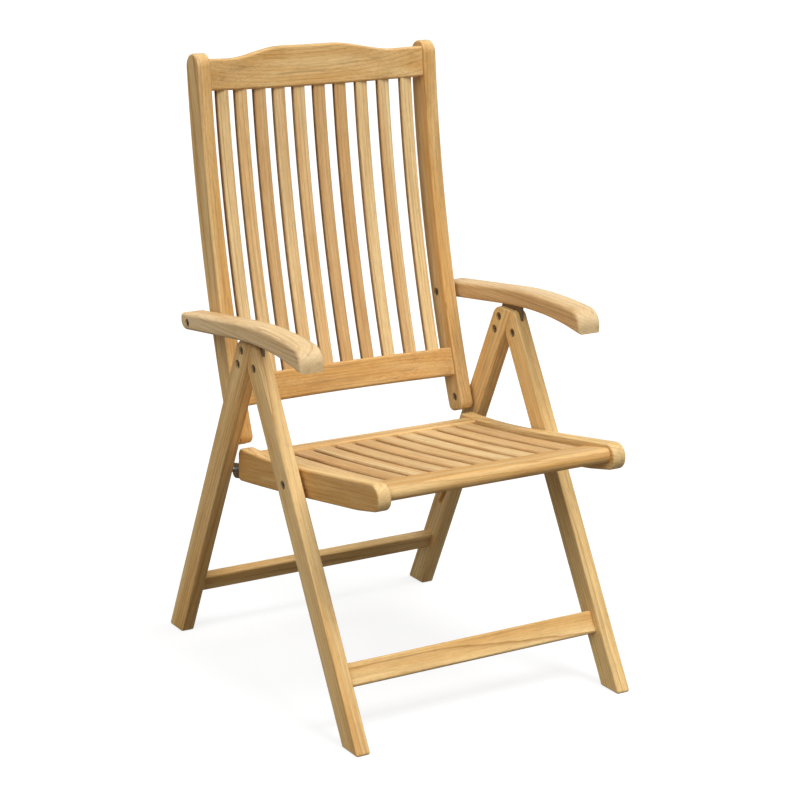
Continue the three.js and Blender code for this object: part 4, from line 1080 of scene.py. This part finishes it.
arm_top = arm_line(arm_top_crest, arm_top_radius)
arm_bottom = arm_line(arm_bottom_crest, arm_bottom_radius)
nose = (arm_top(arm_front) - arm_bottom(arm_front)) * nose_share
nose_room = arm_front + nose * rounding_room
heel_room = arm_rear - arm_heel_radius * rounding_room
arm_outline = rounded([
    (Vector((arm_front, arm_top(arm_front))), nose),
    (Vector((arm_front, arm_bottom(arm_front))), 0),
    *sharp(sampled(arm_bottom, nose_room, heel_room, 30)),
    (Vector((arm_rear, arm_bottom(arm_rear))), arm_heel_radius),
    (Vector((arm_rear, arm_top(arm_rear))), arm_heel_top_radius),
    *sharp(sampled(arm_top, heel_room, nose_room, 30)),
])
channel_front = apex.x - 139.4 * mm
channel_rear = apex.x + 52.6 * mm
channel_line = sampled(arm_bottom, channel_front, channel_rear)
channel = [*[point + Vector((0, channel_depth)) for point in channel_line],
           Vector((channel_rear, leg_top - overrun)), Vector((channel_front, leg_top - overrun))]
arm = carved(
    board("arm", arm_outline, arm_inner, arm_outer, arm_edge),
    board("channel", channel, leg_middle - channel_half, leg_middle + channel_half),
    bore(arm_pivot, rail_inner, arm_outer),
)
wooden_pair("arm", arm, "arm_{}", Vector((0, 1, 0)), left=0.0, right=0.2, slot="teak_arms", material=arm_teak)
for name in pair("arm_rack"):
    frame["nodes"][name].data.materials.clear()
    frame["nodes"][name].data.materials.append(dark_steel)

# Arm bolts and washers: one bolt on each side through the arm and the stile, with a washer between.
# Both are made like those of the seat, and the washer turns freely on the bolt.
arm_bolt_length = arm_outer - rail_inner - 2 * bolt_recess
arm_washer_width = arm_inner - rail_outer - 2 * joint_gap
for side, sign in (("right", 1), ("left", -1)):
    on_both_sides(f"arm_bolt_head_{side}", bolt(arm_bolt_length), [arm_pivot],
                  f"arm_pivot_{side}", [f"arm_bolt_{side}"], (rail_inner + arm_outer) / 2, sides=(sign,))
    on_both_sides(f"arm_washer_{side}", washer(arm_washer_width), [arm_pivot],
                  f"arm_washer_{side}", [f"arm_spacer_{side}"], (arm_inner + rail_outer) / 2, sides=(sign,))

# Camera: a long lens in front and to the left of the chair, a little above its top.
# Its place, aim and roll were solved from the edges of the chair in the photo.
camera_place = Vector((-2.014, -3.294, 1.565))
camera_aim = Vector((0, -0.0148, 0.4906))
camera_roll = math.radians(0.673)
sensor_width_mm = 36
focal_length_mm = 102.1
camera = linked("camera", bpy.data.cameras.new("camera"))
camera.data.sensor_width = sensor_width_mm
camera.data.lens = focal_length_mm
camera.location = camera_place
aim = (camera_aim - camera_place).to_track_quat("-Z", "Y")
camera.rotation_mode = "QUATERNION"
camera.rotation_quaternion = aim @ Matrix.Rotation(camera_roll, 3, "Z").to_quaternion()
bpy.context.scene.camera = camera

# Floor: plain, matt, pale and so wide that no edge shows.
# Seen directly it is lifted to white, and it keeps the soft shadow.
floor_half = 30
floor_mesh = bpy.data.meshes.new("floor")
floor_mesh.from_pydata([(x * floor_half, y * floor_half, 0) for x, y in ((-1, -1), (1, -1), (1, 1), (-1, 1))],
                       [], [(0, 1, 2, 3)])
floor = linked("floor", floor_mesh)
floor_material, tree = new_material("pale_floor")
paint = add(tree, "ShaderNodeBsdfDiffuse", {"Color": linear("#737270")})
seen_paint = add(tree, "ShaderNodeBsdfDiffuse", {"Color": linear("#8f8f8f")})
glow = add(tree, "ShaderNodeEmission", {"Color": linear("#ffffff"), "Strength": 0.8})
seen = add(tree, "ShaderNodeAddShader", {0: seen_paint, 1: glow})
ray = add(tree, "ShaderNodeLightPath").outputs
shown = add(tree, "ShaderNodeMixShader", {0: ray["Is Camera Ray"], 1: paint, 2: seen})
add(tree, "ShaderNodeOutputMaterial", {"Surface": shown})
floor_mesh.materials.append(floor_material)

# Light: even white from all round, a broad soft lamp from the front right above, and a weaker one
# from the left.
world = bpy.data.worlds.new("studio")
world.use_nodes = True
world.node_tree.nodes.clear()
tree = world.node_tree
ray = add(tree, "ShaderNodeLightPath").outputs
direct = ray["Is Camera Ray"]
for kind in ("Is Glossy Ray", "Is Transmission Ray"):
    direct = add(tree, "ShaderNodeMath", {0: direct, 1: ray[kind]}, operation="MAXIMUM")
strength = add(tree, "ShaderNodeMapRange", {"Value": direct, "To Min": 0.34})
background = add(tree, "ShaderNodeBackground", {"Color": linear("#ffffff"), "Strength": strength})
add(tree, "ShaderNodeOutputWorld", {"Surface": background})
bpy.context.scene.world = world

for name, direction, energy, spread_angle in (("key_lamp", (0.8, -1.8, 3.7), 2.1, 28),
                                              ("fill_lamp", (-2.3, -1.5, 2.3), 1.25, 50)):
    lamp = linked(name, bpy.data.lights.new(name, "SUN"))
    lamp.data.energy = energy
    lamp.data.angle = math.radians(spread_angle)
    lamp.rotation_mode = "QUATERNION"
    lamp.rotation_quaternion = (-Vector(direction)).to_track_quat("-Z", "Y")

bpy.context.scene.view_settings.view_transform = "Standard"
